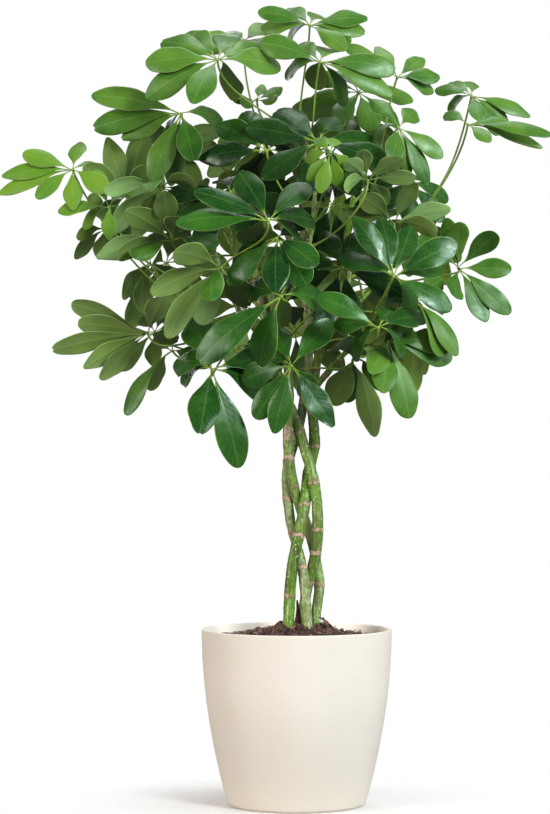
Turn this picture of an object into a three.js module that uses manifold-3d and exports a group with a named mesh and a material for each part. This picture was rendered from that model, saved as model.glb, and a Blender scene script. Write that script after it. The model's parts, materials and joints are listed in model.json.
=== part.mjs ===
// A potted umbrella plant: four braided stems in soil in a tapered round pot, with a crown of palmate
// leaves. Millimetres, +Z up. The origin is the middle of the pot's flat underside, and +X is to the right.
import * as THREE from "three";
import { mergeVertices } from "three/addons/utils/BufferGeometryUtils.js";
import Module from "manifold-3d";

const wasm = await Module();
wasm.setup();

// Driving dimensions
const GAP = 0.35;
const POT = {
  rim: 94.9, foot: 68, height: 175, wall: 4, lip: 2.6, lipDepth: 6, floor: 5, bulge: 0.86, sides: 32,
};
const SOIL = { top: 164, edge: 4, rise: 14, spread: 47, lumps: 1.1 };
const STEM = { sides: 6, steps: 20, buried: 55, holeSteps: 2, thinsFrom: 0.6, bearsFrom: 0.72 };
const BRANCH = { sides: 5, steps: 4, base: 0.72, tip: 2.2, bearsFrom: 0.3 };
const BRAID = { samples: 72, rounds: 120, apart: 1, ease: 0.06 };
const PETIOLE = {
  root: 2.2, neck: 1.5, steps: 3, sides: 3, usual: 95, spacing: 13, choices: 8, pull: 0.36,
};
const HUB = { radius: 2.6, half: 1.1, room: 3 };

// A leaflet's sections after its root: the stretch that leads to each, as a share of the leaflet's reach;
// the width, as a share of the widest; the thickness; and the bend, as a share of the leaf's droop.
const SECTIONS = [
  { stretch: 0.2, width: 0.18, thick: 1.6, bend: 0.55 },
  { stretch: 0.25, width: 0.72, thick: 1.4, bend: 0.97 },
  { stretch: 0.31, width: 1, thick: 1.4, bend: 1.39 },
  { stretch: 0.27, width: 0.52, thick: 0.3, bend: 1.81 },
];
const WHOLE_STRETCH = SECTIONS.reduce((sum, section) => sum + section.stretch, 0);
const BLADE = { halfWidth: 0.2, sag: 0.05 };
// How much leaflets differ from each other; outward is how much longer they are on the crown's outer side.
const VARIED = {
  turn: 0.3, least: 0.87, outward: 0.15, reach: 0.14, droop: 16, roll: 26, fold: 0.22, width: 0.2,
};

const LOOKS = {
  pot: { color: 0xe9dfd0, roughness: 0.75, metalness: 0 },
  soil: { color: 0x3d2a24, roughness: 1, metalness: 0 },
  stem: { color: 0x5f8a2c, roughness: 0.6, metalness: 0 },
  young: { color: 0x6fa32e, roughness: 0.45, metalness: 0 },
  mature: { color: 0x3c7a2b, roughness: 0.35, metalness: 0 },
  dark: { color: 0x1f4f25, roughness: 0.28, metalness: 0 },
};

// Each stem's middle line from the soil to the top of the crown, its radius at the soil and at the top, and
// its side branches: where each leaves the stem, as a share of the line's points, and its further points.
const STEMS = [
  {
    name: "stem_right",
    radius: [5.0, 2.6],
    line: [
      [19, 2, 186], [21.5, 2, 205], [23, 4, 219], [21, 9, 234], [17, 10, 256], [9, 8, 282], [1, 5, 303],
      [-5, -5, 328], [-8, -10, 350], [-9, -10, 376], [-7, -10, 405], [-9, -14, 440], [-20, -28, 485],
      [-32, -42, 535], [-38, -50, 590],
    ],
    branches: [
      { from: 0.79, line: [[-40, -50, 470], [-66, -74, 505], [-78, -86, 545]] },
      { from: 0.86, line: [[2, -60, 520], [14, -82, 560], [18, -90, 605]] },
    ],
  },
  {
    name: "stem_back",
    radius: [5.4, 2.6],
    line: [
      [6, 13, 184], [8.5, 10, 203], [10.5, 4, 217], [15, 1, 233], [19.5, -6, 252], [21, -6, 272],
      [20.5, -8, 300], [16, -9, 328], [9, -5, 352], [1, 1, 378], [-8, 5, 400], [-17, 6, 425],
      [-26, 12, 460], [-38, 26, 510], [-46, 38, 565], [-50, 44, 620],
    ],
    branches: [
      { from: 0.76, line: [[-58, 8, 452], [-92, 4, 480], [-108, -4, 525]] },
      { from: 0.84, line: [[-50, 52, 520], [-66, 76, 560], [-72, 90, 605]] },
    ],
  },
  {
    name: "stem_left",
    radius: [5.6, 2.8],
    line: [
      [-8, -9, 182], [-7, -9, 206], [-5, -9, 232], [-1, -9, 254], [5, -9, 282], [8, -7, 298],
      [9.2, -1, 311], [11, 5, 325], [14, 7, 340], [18, 7, 358], [17, 3, 382], [15, 2, 405],
      [20, 0, 440], [32, -8, 490], [46, -18, 545], [56, -24, 605],
    ],
    branches: [
      { from: 0.75, line: [[52, -38, 455], [78, -64, 480], [92, -78, 525]] },
      { from: 0.83, line: [[70, 10, 510], [98, 18, 545], [112, 20, 595]] },
    ],
  },
  {
    name: "stem_front",
    radius: [4.9, 3.0],
    line: [
      [11, -11, 178], [9, -8, 205], [6.5, -5, 230], [2, 3, 252], [-5, 6, 276], [-9, 5, 305], [-10, 5, 335],
      [-4, 6, 356], [3, 10, 380], [8, 12, 408], [13, 14, 440], [10, 18, 500], [7, 16, 560], [6, 14, 625],
      [8, 12, 665],
    ],
    branches: [
      { from: 0.77, line: [[36, 44, 480], [52, 74, 515], [56, 90, 560]] },
      { from: 0.86, line: [[-10, 60, 570], [-22, 92, 605], [-26, 104, 645]] },
    ],
  },
];

// Where an eye in front of the plant is. It sees the leaves as the two tables below have them: each hub,
// where the leaflets meet, is given as across, deep and up, with across and up scaled to the plane through
// the origin. A leaf faces the way that its azimuth and elevation give.
const EYE = { distance: 2700, height: 375 };
// The share of a leaflet's turn round its own length that would show the eye all of its width.
const SHOWN_WIDTH = 0.65;

// The leaves that show best. Each leaflet is given by its tip, as it is seen across and up from the hub.
const SHOWN_LEAVES = [
  {
    hub: [-224, -20, 635], faces: [-112, 48], reach: 48, droop: 15, tone: "young",
    tips: [[-49, 16], [-68, -6], [-71, -23], [-34, -30], [4, 30], [3, -42], [35, -24], [27, 4]],
  },
  {
    hub: [-188, -40, 597], faces: [-110, 50], reach: 42, droop: 23, tone: "young",
    tips: [[28, -12], [-49, -4], [-15, 38], [3, -34], [-26, -20], [18, 20]],
  },
  {
    hub: [-115, -20, 691], faces: [-94, 38], reach: 62, droop: 19, tone: "mature",
    tips: [[-87, 18], [-86, -14], [-58, -25], [-16, -32], [-25, -70], [-10, -71], [13, -50], [39, -4]],
  },
  {
    hub: [-79, -60, 744], faces: [-90, 38], reach: 70, droop: 23, tone: "mature",
    tips: [
      [-55, 23], [-34, 32], [-70, -3], [-68, -36], [-22, -46], [12, -34], [60, -4], [46, 16], [12, 33],
    ],
  },
  {
    hub: [-40, 60, 705], faces: [-90, 42], reach: 32, droop: -8, tone: "young",
    tips: [[6, 17], [25, 13], [-24, 1], [-15, -7], [20, -2]],
  },
  {
    hub: [-30, -60, 653], faces: [-95, 42], reach: 66, droop: 17, tone: "dark",
    tips: [[-48, 29], [-32, 39], [-64, -6], [-16, -25], [5, -27], [37, 25], [21, 15], [36, -8]],
  },
  {
    hub: [-28, -150, 583], faces: [-95, 48], reach: 62, droop: 19, tone: "dark",
    tips: [[-86, -1], [-68, 28], [-28, 48], [38, 37], [43, 2], [-24, -19], [30, -16]],
  },
  {
    hub: [-125, -70, 563], faces: [120, 62], reach: 66, droop: 21, tone: "mature",
    tips: [[-70, -15], [-33, 30], [-51, -18], [-30, -22], [-6, 44], [14, 18], [44, -10]],
  },
  {
    hub: [13, 0, 779], faces: [-90, 42], reach: 52, droop: 21, tone: "mature",
    tips: [
      [-22, 22], [-48, -1], [-50, 14], [-22, -11], [11, 16], [57, 7], [54, -7], [41, -12], [36, -28],
    ],
  },
  {
    hub: [23, -40, 742], faces: [-80, 38], reach: 60, droop: 23, tone: "mature",
    tips: [
      [-58, 13], [-33, -10], [-5, -22], [26, -38], [50, -10], [72, -33], [74, -8], [2, 22], [-24, 19],
    ],
  },
  {
    hub: [101, -10, 727], faces: [-70, 40], reach: 46, droop: 17, tone: "mature",
    tips: [[-20, 33], [27, 22], [36, -12], [42, 2], [-51, 31], [-36, 14]],
  },
  {
    hub: [102, -60, 677], faces: [-62, 22], reach: 48, droop: 19, tone: "mature",
    tips: [[17, 20], [-25, -7], [-8, -36], [9, -48], [28, -56], [42, -29], [-26, 29]],
  },
  {
    hub: [175, 10, 708], faces: [-80, 40], reach: 42, droop: 19, tone: "mature",
    tips: [[-25, 14], [2, 18], [-34, 8], [-20, -14], [6, -28], [36, -30], [57, -20], [24, -43]],
  },
  {
    hub: [171, -30, 680], faces: [-82, 50], reach: 38, droop: 15, tone: "mature",
    tips: [[72, -23], [80, -14], [20, -20], [-21, 12], [40, 2]],
  },
  {
    hub: [34, -150, 652], faces: [-90, 18], reach: 36, droop: 15, tone: "young",
    tips: [[-13, 14], [5, 14], [-22, -6], [-21, -26], [-10, -39], [7, -30], [17, -15]],
  },
  {
    hub: [71, -110, 624], faces: [95, 46], reach: 44, droop: 15, tone: "mature",
    tips: [[-6, 24], [31, 17], [-26, 11], [45, 1], [-22, -12], [20, -20]],
  },
  {
    hub: [97, -70, 581], faces: [95, 48], reach: 52, droop: 17, tone: "mature",
    tips: [[54, 13], [-32, 29], [-43, 14], [20, 36], [40, -12]],
  },
  {
    hub: [164, -30, 536], faces: [110, 14], reach: 54, droop: 13, tone: "mature",
    tips: [[33, 30], [50, 0], [48, -44], [25, -51], [-5, -31], [-4, 40], [-15, 45], [-41, 28]],
  },
  {
    hub: [97, -130, 527], faces: [-75, 34], reach: 62, droop: 19, tone: "dark",
    tips: [[-37, 56], [-11, 57], [18, 50], [59, 32], [46, 11], [-52, 20], [-13, 27], [54, -31], [19, -36]],
  },
  {
    hub: [118, -80, 503], faces: [-50, 44], reach: 58, droop: 25, tone: "mature",
    tips: [[34, -4], [40, -52], [22, -56], [6, -22], [-12, -52], [30, 24]],
  },
  {
    hub: [82, -145, 476], faces: [-95, 38], reach: 60, droop: 21, tone: "dark",
    tips: [[-57, 30], [-21, -30], [10, 36], [26, -25], [42, 10], [-40, 4]],
  },
  {
    hub: [91, -80, 462], faces: [-70, 40], reach: 66, droop: 16, tone: "mature",
    tips: [[20, -73], [38, -24], [66, -2], [-6, -48], [-26, -26], [48, 22]],
  },
  {
    hub: [58, -40, 445], faces: [90, 50], reach: 70, droop: 23, tone: "mature",
    tips: [[-31, -42], [20, -77], [-8, -41], [-20, 10], [24, -34], [30, 14]],
  },
  {
    hub: [-5, -115, 438], faces: [-95, 22], reach: 60, droop: 17, tone: "dark",
    tips: [[38, 43], [-16, 38], [39, -57], [-16, -63], [-34, -50], [-46, -14], [-26, 10], [8, -24]],
  },
  {
    hub: [-85, -90, 434], faces: [-85, 36], reach: 84, droop: 21, tone: "dark",
    tips: [[26, -93], [-9, -60], [-32, -12], [-39, 5], [60, 18], [-22, 50], [58, -24]],
  },
  {
    hub: [-149, -60, 471], faces: [118, 54], reach: 60, droop: 8, tone: "mature",
    tips: [[-90, -16], [-72, 29], [-66, 10], [-60, -33], [-45, -45], [17, 30], [26, -4]],
  },
  {
    hub: [-125, 10, 453], faces: [-150, 54], reach: 62, droop: 23, tone: "mature",
    tips: [[-45, -64], [-22, -39], [-24, 6], [-4, 22], [30, -14]],
  },
  {
    hub: [-75, -120, 536], faces: [120, 50], reach: 64, droop: 23, tone: "mature",
    tips: [[-51, -66], [-66, -24], [-6, -35], [-20, -52], [24, -34], [-42, 12]],
  },
  {
    hub: [-15, -165, 507], faces: [-105, 28], reach: 72, droop: 21, tone: "dark",
    tips: [[-77, -60], [-20, -64], [10, -30], [40, -6], [-40, 18], [18, 30]],
  },
  {
    hub: [-20, -130, 566], faces: [-100, 32], reach: 62, droop: 19, tone: "dark",
    tips: [[-45, -44], [-58, -18], [9, -50], [37, -28], [28, -46], [34, 14]],
  },
  {
    hub: [-170, 15, 608], faces: [110, 26], reach: 60, droop: 15, tone: "mature",
    tips: [[-18, 55], [18, 62], [30, 20], [-44, 18], [-20, -26], [22, -30]],
  },
  {
    hub: [-190, 10, 576], faces: [150, 50], reach: 40, droop: 23, tone: "mature",
    tips: [[-31, -31], [-9, -30], [-28, -12], [6, -24], [22, -10], [-10, 22]],
  },
  {
    hub: [-147, 20, 541], faces: [150, 52], reach: 54, droop: 23, tone: "mature",
    tips: [[-7, -50], [-23, -38], [26, -20], [-32, 4], [12, 26]],
  },
];

// The leaves that are mostly hidden. Each row gives the hub; the way that the leaf faces, as azimuth and
// elevation; the turn of its first leaflet; how many leaflets there are; their reach from the hub; their
// droop in degrees; the tone.
const HIDDEN_LEAVES = [
  [-52, 40, 764, -80, 62, 30, 8, 46, 4, "mature"],
  [-136, -30, 617, 100, 60, 20, 8, 60, 20, "mature"],
  [62, 40, 712, -70, 46, 0, 8, 56, 10, "mature"],
  [-142, 6, 472, 120, 40, 10, 7, 42, 10, "mature"],
  [-2, 36, 472, 90, 35, 10, 8, 58, 12, "dark"],
  [46, -50, 536, -90, 30, 20, 8, 62, 10, "dark"],
  [110, 10, 622, -60, 40, 10, 8, 48, 12, "dark"],
  [22, -60, 662, -90, 44, 12, 8, 68, 8, "dark"],
  [-66, -60, 612, -110, 44, 12, 8, 66, 12, "dark"],
  [36, 0, 598, -90, 30, 20, 8, 52, 10, "dark"],
];

// The least depth of a leaflet, as a share of what is seen of its length; the steepest that one hangs from
// its leaf's plane, in degrees; and the bend of a whole leaflet, as a share of the leaf's droop.
const TIPS = { depth: 0.05, steepest: 78, bend: 1.24 };

// The leaves at the back are spread over a ball round the crown's middle, a golden-section turn apart.
const CROWN = { middle: [-15, 10, 575], radius: 165 };
const BACK = {
  count: 11, from: 22, sweep: 136, low: -38, high: 52, leaflets: 8, reach: 68, droop: 18, spin: 37,
};
const GOLDEN = 0.618;

// The changes tried, in this order, on a leaflet or petiole that would cross another piece.
const SIZES = [1, 0.82, 0.62, 0.42];
const ROLLS = [0, 24, -24, 45, -45];
const LIFTS = [0, -9, 9, -18, 18, -30, 30, -44, 44];
const TURNS = [0, 9, -9];
const SEATS = [0, 0.35, 0.7, 1];
const SWAYS = [
  [0, 0], [10, 0], [-10, 0], [0, 10], [0, -10], [18, 18], [-18, 18], [18, -18], [-18, -18],
  [34, 0], [-34, 0], [0, 34], [0, -34], [48, 30], [-48, 30], [48, -30], [-48, -30],
];

const rad = THREE.MathUtils.degToRad;

function vec(numbers) {
  return new THREE.Vector3(...numbers);
}

function moved(point, direction, distance) {
  return point.clone().addScaledVector(direction, distance);
}

// A direction at an angle from one axis towards another.
function between(axis, other, angle) {
  return moved(axis.clone().multiplyScalar(Math.cos(angle)), other, Math.sin(angle));
}

// A repeatable draw from 0 to 1, for draw k of piece i.
function draw(i, k) {
  const s = Math.sin(i * 127.1 + k * 311.7) * 43758.5453;
  return s - Math.floor(s);
}

// Closed surfaces

// Joins two rings of point numbers. Every other side is split the other way, so that both faces of a blade
// are split alike. A ring may name a point twice in a row.
function stitch(faces, lower, upper) {
  const add = (a, b, c) => {
    if (b !== c && c !== a) faces.push(a, b, c);
  };
  lower.forEach((a, i) => {
    const j = (i + 1) % lower.length;
    if (i % 2) {
      add(a, lower[j], upper[j]);
      add(a, upper[j], upper[i]);
    } else {
      add(a, lower[j], upper[i]);
      add(lower[j], upper[j], upper[i]);
    }
  });
}

// A closed surface through rings of points, each ring turning right-handed about the way along.
function loft(rings) {
  const sides = rings[0].length;
  const ringNumbers = rings.map((ring, j) => ring.map((_, i) => j * sides + i));
  const faces = [];
  for (let j = 1; j < rings.length; j++) stitch(faces, ringNumbers[j - 1], ringNumbers[j]);
  const last = ringNumbers[rings.length - 1];
  for (let i = 2; i < sides; i++) faces.push(0, i, i - 1, last[0], last[i - 1], last[i]);
  return solid(rings.flat(), faces);
}

function solid(points, faces) {
  return solidOf(points.flatMap((p) => [p.x, p.y, p.z]), faces);
}

function solidOf(coordinates, faces) {
  const vertProperties = new Float32Array(coordinates);
  const triVerts = new Uint32Array(faces);
  return new wasm.Manifold(new wasm.Mesh({ numProp: 3, vertProperties, triVerts }));
}

function lathe(profile, sides) {
  const turned = new THREE.LatheGeometry(profile.map(([r, z]) => new THREE.Vector2(r, z)), sides);
  turned.rotateX(Math.PI / 2);
  turned.deleteAttribute("normal");
  turned.deleteAttribute("uv");
  const merged = mergeVertices(turned, 1e-4);
  return solidOf(merged.attributes.position.array, merged.index.array);
}

// Rings round a line, each square to it, with the radius given for each share of the way along.
function tubeRings(at, radiusAt, steps, sides) {
  const rings = [];
  const nudge = 0.002;
  let side = null;
  for (let j = 0; j <= steps; j++) {
    const t = j / steps;
    const ahead = at(Math.min(1, t + nudge)).sub(at(Math.max(0, t - nudge))).normalize();
    if (!side) side = Math.abs(ahead.z) > 0.5 ? vec([1, 0, 0]) : vec([0, 0, 1]);
    side = moved(side, ahead, -side.dot(ahead)).normalize();
    const other = ahead.clone().cross(side);
    const ring = [];
    for (let i = 0; i < sides; i++) {
      const spoke = between(side, other, (2 * Math.PI * i) / sides);
      ring.push(moved(at(t), spoke, radiusAt(t)));
    }
    rings.push(ring);
  }
  return rings;
}

// Stems

function lineThrough(points) {
  const curve = new THREE.CatmullRomCurve3(points, false, "catmullrom", 0.5);
  return (t) => curve.getPoint(t);
}

// The straight stretches between the rings of a tube, which is where its middle really runs.
function chordsOf(at, steps) {
  return (t) => {
    const j = Math.min(Math.floor(t * steps), steps - 1);
    return at(j / steps).lerp(at((j + 1) / steps), t * steps - j);
  };
}

function stemRadius(stem, t) {
  const [thick, thin] = stem.radius;
  const thinning = Math.max(0, (t - STEM.thinsFrom) / (1 - STEM.thinsFrom));
  return thick + (thin - thick) * thinning;
}

// Parts two stems in depth where they would cross, which keeps the braid's look from the front.
function partLines(lineA, stemA, lineB, stemB) {
  lineA.forEach((p, j) => {
    lineB.forEach((q, k) => {
      const radii = stemRadius(stemA, j / BRAID.samples) + stemRadius(stemB, k / BRAID.samples);
      const need = radii + BRAID.apart;
      const flat = (p.x - q.x) ** 2 + (p.z - q.z) ** 2;
      if (flat >= need * need) return;
      const missing = Math.sqrt(need * need - flat) - Math.abs(p.y - q.y);
      if (missing <= 0) return;
      const shift = (p.y < q.y ? -0.5 : 0.5) * missing;
      p.y += shift;
      q.y -= shift;
    });
  });
}

function easeDepth(line) {
  for (let j = 1; j + 1 < line.length; j++)
    line[j].y += BRAID.ease * (line[j - 1].y + line[j + 1].y - 2 * line[j].y);
}

function braidedLines() {
  const lines = STEMS.map((stem) => {
    const at = lineThrough(stem.line.map(vec));
    return Array.from({ length: BRAID.samples + 1 }, (_, j) => at(j / BRAID.samples));
  });
  for (let round = 0; round < BRAID.rounds; round++) {
    for (let a = 0; a < lines.length; a++)
      for (let b = a + 1; b < lines.length; b++) partLines(lines[a], STEMS[a], lines[b], STEMS[b]);
    lines.forEach(easeDepth);
  }
  return lines;
}

// The stem's rings from the bottom of its buried end to the soil and on to its tip.
function stemRings(stem, margin = 0) {
  const rings = tubeRings(stem.at, (t) => stem.radiusAt(t) + margin, STEM.steps, STEM.sides);
  rings.unshift(rings[0].map((p) => moved(p, vec([0, 0, -1]), STEM.buried + margin)));
  return rings;
}

function makeStem(stem, line) {
  const at = lineThrough(line);
  const radiusAt = (t) => stemRadius(stem, t);
  const upper = { at: chordsOf(at, STEM.steps), radiusAt, from: STEM.bearsFrom, sides: STEM.sides };
  const made = { name: stem.name, at, radiusAt, bearers: [upper] };
  const rings = stemRings(made);
  const end = moved(at(1), vec([0, 0, 1]), radiusAt(1));
  rings.push(rings[rings.length - 1].map((p) => p.clone().lerp(end, 0.6)));
  made.solid = loft(rings);
  for (const branch of stem.branches) {
    const path = lineThrough([at(branch.from), ...branch.line.map(vec)]);
    const base = radiusAt(branch.from) * BRANCH.base;
    const thinner = (t) => base + (BRANCH.tip - base) * t;
    made.solid = made.solid.add(loft(tubeRings(path, thinner, BRANCH.steps, BRANCH.sides)));
    const chords = chordsOf(path, BRANCH.steps);
    made.bearers.push({ at: chords, radiusAt: thinner, from: BRANCH.bearsFrom, sides: BRANCH.sides });
  }
  return made;
}

// Pot and soil

function outsideRadius(z) {
  return POT.foot + (POT.rim - POT.foot) * Math.sin((Math.PI / 2) * (z / POT.height)) ** POT.bulge;
}

function insideRadius(z) {
  return outsideRadius(z) - POT.wall;
}

const WALL_LEVELS = [0.25, 0.5, 0.75].map((share) => share * POT.height);

function makePot() {
  const { rim, foot, height, lip, lipDepth, floor, sides } = POT;
  const lipBottom = height - lipDepth;
  const profile = [[0, 0], [foot - 1.5, 0], [foot + 0.6, 2]];
  for (const z of WALL_LEVELS) profile.push([outsideRadius(z), z]);
  profile.push([rim, height], [rim - lip, height], [insideRadius(lipBottom), lipBottom]);
  for (const z of [...WALL_LEVELS].reverse()) profile.push([insideRadius(z), z]);
  profile.push([insideRadius(floor), floor], [0, floor]);
  return lathe(profile, sides);
}

// The height of the soil's surface: a low lumpy mound round the stems.
function soilHeight(x, y) {
  const mound = SOIL.rise * Math.exp(-(x * x + y * y) / SOIL.spread ** 2);
  const broad = Math.sin(x * 0.21 + 1.3) * Math.cos(y * 0.19);
  const fine = 0.6 * Math.sin(x * 0.47 - y * 0.39);
  return SOIL.top + mound + SOIL.lumps * (broad + fine);
}

function soilRing(radius, heightAt) {
  const ring = [];
  for (let i = 0; i < POT.sides; i++) {
    const a = (2 * Math.PI * i) / POT.sides;
    const [x, y] = [radius * Math.cos(a), radius * Math.sin(a)];
    ring.push(vec([x, y, heightAt(x, y)]));
  }
  return ring;
}

// The soil follows the pot's inside, and has a plain hole for each stem.
function makeSoil(stems) {
  const edge = SOIL.top - SOIL.edge;
  const rings = [];
  for (const z of [POT.floor + GAP, ...WALL_LEVELS, edge])
    rings.push(soilRing(insideRadius(z) - GAP, () => z));
  for (const share of [1, 0.6, 0.25]) rings.push(soilRing((insideRadius(edge) - GAP) * share, soilHeight));
  let soil = loft(rings);
  for (const stem of stems) soil = soil.subtract(loft(stemRings(stem, GAP).slice(0, STEM.holeSteps + 2)));
  return soil;
}

// Leaves

function allLeaves() {
  const leaves = SHOWN_LEAVES.map(({ hub, faces, tips, ...rest }) => {
    const leaf = newLeaf(hubSeenAt(hub), faces, rest);
    leaf.plans = tips.map((tip) => planToTip(leaf, tip)).sort((a, b) => a.turn - b.turn);
    return leaf;
  });
  for (const [x, y, z, azimuth, elevation, spin, count, reach, droop, tone] of HIDDEN_LEAVES) {
    const leaf = newLeaf(hubSeenAt([x, y, z]), [azimuth, elevation], { reach, droop, tone });
    leaves.push({ ...leaf, spin, count });
  }
  for (let i = 0; i < BACK.count; i++) {
    const azimuth = BACK.from + BACK.sweep * ((i * GOLDEN) % 1);
    const lift = BACK.low + ((BACK.high - BACK.low) * (i + 0.5)) / BACK.count;
    const hub = moved(vec(CROWN.middle), facing(azimuth, lift).up, CROWN.radius);
    const tone = lift > 30 ? "mature" : "dark";
    const leaf = newLeaf(hub, [azimuth, 42 + lift * 0.3], { reach: BACK.reach, droop: BACK.droop, tone });
    leaves.push({ ...leaf, spin: BACK.spin * i, count: BACK.leaflets });
  }
  leaves.forEach((leaf, i) => {
    leaf.number = i + 1;
    leaf.plans ??= Array.from({ length: leaf.count }, (_, k) => planEvenly(leaf, k));
  });
  return leaves;
}

function newLeaf(hub, [azimuth, elevation], rest) {
  return { hub, ...facing(azimuth, elevation), ...rest };
}

function hubSeenAt([x, y, z]) {
  const scale = 1 + y / EYE.distance;
  return vec([x * scale, y, EYE.height + (z - EYE.height) * scale]);
}

// The plan of a leaflet whose tip is seen here. Its length leaves two depths for the tip, and the one that
// suits the way that the leaf faces is taken.
function planToTip(leaf, [across, up]) {
  const seen = Math.hypot(across, up);
  const deep = Math.max(seen * TIPS.depth, Math.sqrt(Math.max(0, leaf.reach ** 2 - seen ** 2)));
  const ways = [deep, -deep].map((y) => vec([across, y, up]).normalize());
  const misfit = (way) => Math.abs(way.dot(leaf.up) + Math.sin(rad(leaf.droop)));
  const [way] = ways.sort((a, b) => misfit(a) - misfit(b));
  const turn = THREE.MathUtils.radToDeg(Math.atan2(way.dot(leaf.down), way.dot(leaf.across)));
  const below = THREE.MathUtils.radToDeg(-Math.asin(way.dot(leaf.up)));
  const tilt = Math.min(below, TIPS.steepest) - leaf.droop * TIPS.bend;
  const reach = (Math.hypot(seen, deep) - HUB.radius) / WHOLE_STRETCH;
  return { turn, tilt, droop: leaf.droop, sag: 0, reach, roll: rollToEye(leaf, way) };
}

// A leaflet turns round its own length, so that more of its face, or of its back, is seen.
function rollToEye(leaf, way) {
  const side = leaf.up.clone().cross(way).normalize();
  const face = way.clone().cross(side);
  const shown = Math.sign(-face.y);
  return SHOWN_WIDTH * THREE.MathUtils.radToDeg(Math.atan2(shown * side.y, -shown * face.y));
}

// The plan of one of a leaf's evenly spread leaflets.
function planEvenly(leaf, k) {
  const vary = (row) => draw(leaf.number, k + 20 * row);
  const turn = leaf.spin + (360 * (k + VARIED.turn * (vary(0) - 0.5))) / leaf.count;
  const outer = leaf.hub.clone().sub(vec(CROWN.middle)).normalize();
  const out = between(leaf.across, leaf.down, rad(turn));
  const longer = VARIED.least + VARIED.outward * out.dot(outer) + VARIED.reach * vary(1);
  const droop = leaf.droop + VARIED.droop * (vary(2) - 0.5);
  return { turn, tilt: 0, droop, sag: BLADE.sag, reach: leaf.reach * longer, roll: rollToEye(leaf, out) };
}

// The three axes of something that faces this way: up is the way that it faces.
function facing(azimuth, elevation) {
  const [a, e] = [rad(azimuth), rad(elevation)];
  const up = vec([Math.cos(e) * Math.cos(a), Math.cos(e) * Math.sin(a), Math.sin(e)]);
  const across = vec([-Math.sin(a), Math.cos(a), 0]);
  return { up, across, down: across.clone().cross(up) };
}

// The places where leaves can grow, evenly spaced along the upper stems and the branches.
function growthPlaces(stems) {
  const places = [];
  for (const bearer of stems.flatMap((stem) => stem.bearers)) {
    const span = bearer.at(1).distanceTo(bearer.at(bearer.from));
    const count = Math.max(2, Math.floor(span / PETIOLE.spacing));
    for (let j = 0; j <= count; j++) {
      const t = bearer.from + ((1 - bearer.from) * (j + 0.3)) / (count + 0.6);
      const ahead = bearer.at(t + 0.01).sub(bearer.at(t - 0.01)).normalize();
      const radius = bearer.radiusAt(t);
      const flat = radius * Math.cos(Math.PI / bearer.sides);
      places.push({ point: bearer.at(t), ahead, radius, flat, taken: false });
    }
  }
  return places;
}

// The free places that suit a leaf best: at a petiole's usual length, with the leaf above them.
function placesFor(leaf, places) {
  const cost = (place) => {
    const way = leaf.hub.clone().sub(place.point);
    const climb = way.dot(place.ahead) / way.length();
    return Math.abs(way.length() - PETIOLE.usual) + 40 * Math.max(0, 0.2 - climb);
  };
  const free = places.filter((place) => !place.taken);
  return free.sort((a, b) => cost(a) - cost(b)).slice(0, PETIOLE.choices);
}

// The petiole leaves its stem sideways, with its foot flat along it, and arrives at the hub from behind the
// leaf. The seat goes from 0, for a foot on a flat of the stem, to 1, for a foot on one of its corners.
function petioleRings(leaf, { place, seat, sway: [swayAcross, swayDown] }, margin = 0) {
  const way = leaf.hub.clone().sub(place.point);
  const outward = moved(way, place.ahead, -way.dot(place.ahead)).normalize();
  const height = place.flat + seat * (place.radius - place.flat);
  const start = moved(place.point, outward, height + GAP - margin);
  const pull = start.distanceTo(leaf.hub) * PETIOLE.pull;
  const sway = moved(leaf.across.clone().multiplyScalar(swayAcross), leaf.down, swayDown);
  const leaving = outward.clone().multiplyScalar(0.8).addScaledVector(place.ahead, 0.6);
  const first = moved(start, leaving, pull).addScaledVector(sway, 0.6);
  const second = moved(leaf.hub, leaf.up, -pull).add(sway);
  const curve = new THREE.CubicBezierCurve3(start, first, second, leaf.hub.clone());
  const radiusAt = (t) => margin + PETIOLE.root + (PETIOLE.neck - PETIOLE.root) * Math.min(1, t * 4);
  const rings = tubeRings((t) => curve.getPoint(t), radiusAt, PETIOLE.steps, PETIOLE.sides);
  for (const p of rings[0]) p.addScaledVector(outward, -p.clone().sub(start).dot(outward));
  return rings;
}

// The rings of one leaflet from its root to its tip, each ring left, top, right, bottom.
function leafletRings(leaf, k, change, margin = 0) {
  const vary = (row) => draw(leaf.number, k + 20 * row);
  const plan = leaf.plans[k];
  const turn = plan.turn + change.turn;
  const out = between(leaf.across, leaf.down, rad(turn));
  const left = leaf.up.clone().cross(out);
  const reach = plan.reach * change.size;
  const tilt = plan.tilt + change.lift;
  const roll = plan.roll + VARIED.roll * (vary(3) - 0.5) + change.roll;
  const fold = VARIED.fold * (vary(4) - 0.65);
  const widest = leaf.reach * BLADE.halfWidth * (1 + VARIED.width * (vary(5) - 0.5)) * change.size;
  let middle = moved(leaf.hub, out, HUB.radius);
  const root = [
    moved(middle, left, HUB.half), moved(middle, leaf.up, HUB.half),
    moved(middle, left, -HUB.half), moved(middle, leaf.up, -HUB.half),
  ];
  const rings = [root];
  SECTIONS.forEach((section, j) => {
    const ahead = between(out, leaf.up, -rad(tilt + plan.droop * section.bend));
    ahead.z -= plan.sag * j;
    ahead.normalize();
    middle = moved(middle, ahead, section.stretch * reach);
    const face = ahead.clone().cross(left).normalize();
    const side = face.clone().cross(ahead);
    const rolled = rad((roll * (j + 1)) / SECTIONS.length);
    const across = between(side, face, rolled);
    const above = between(face, side, -rolled);
    const half = widest * section.width;
    const thick = section.thick / 2 + margin;
    const edge = moved(middle, above, j === 0 ? 0 : half * fold);
    const spine = j + 1 < SECTIONS.length ? middle : edge;
    rings.push([
      moved(edge, across, half + margin), moved(spine, above, thick),
      moved(edge, across, -half - margin), moved(spine, above, -thick),
    ]);
  });
  return { turn, rings };
}

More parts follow.
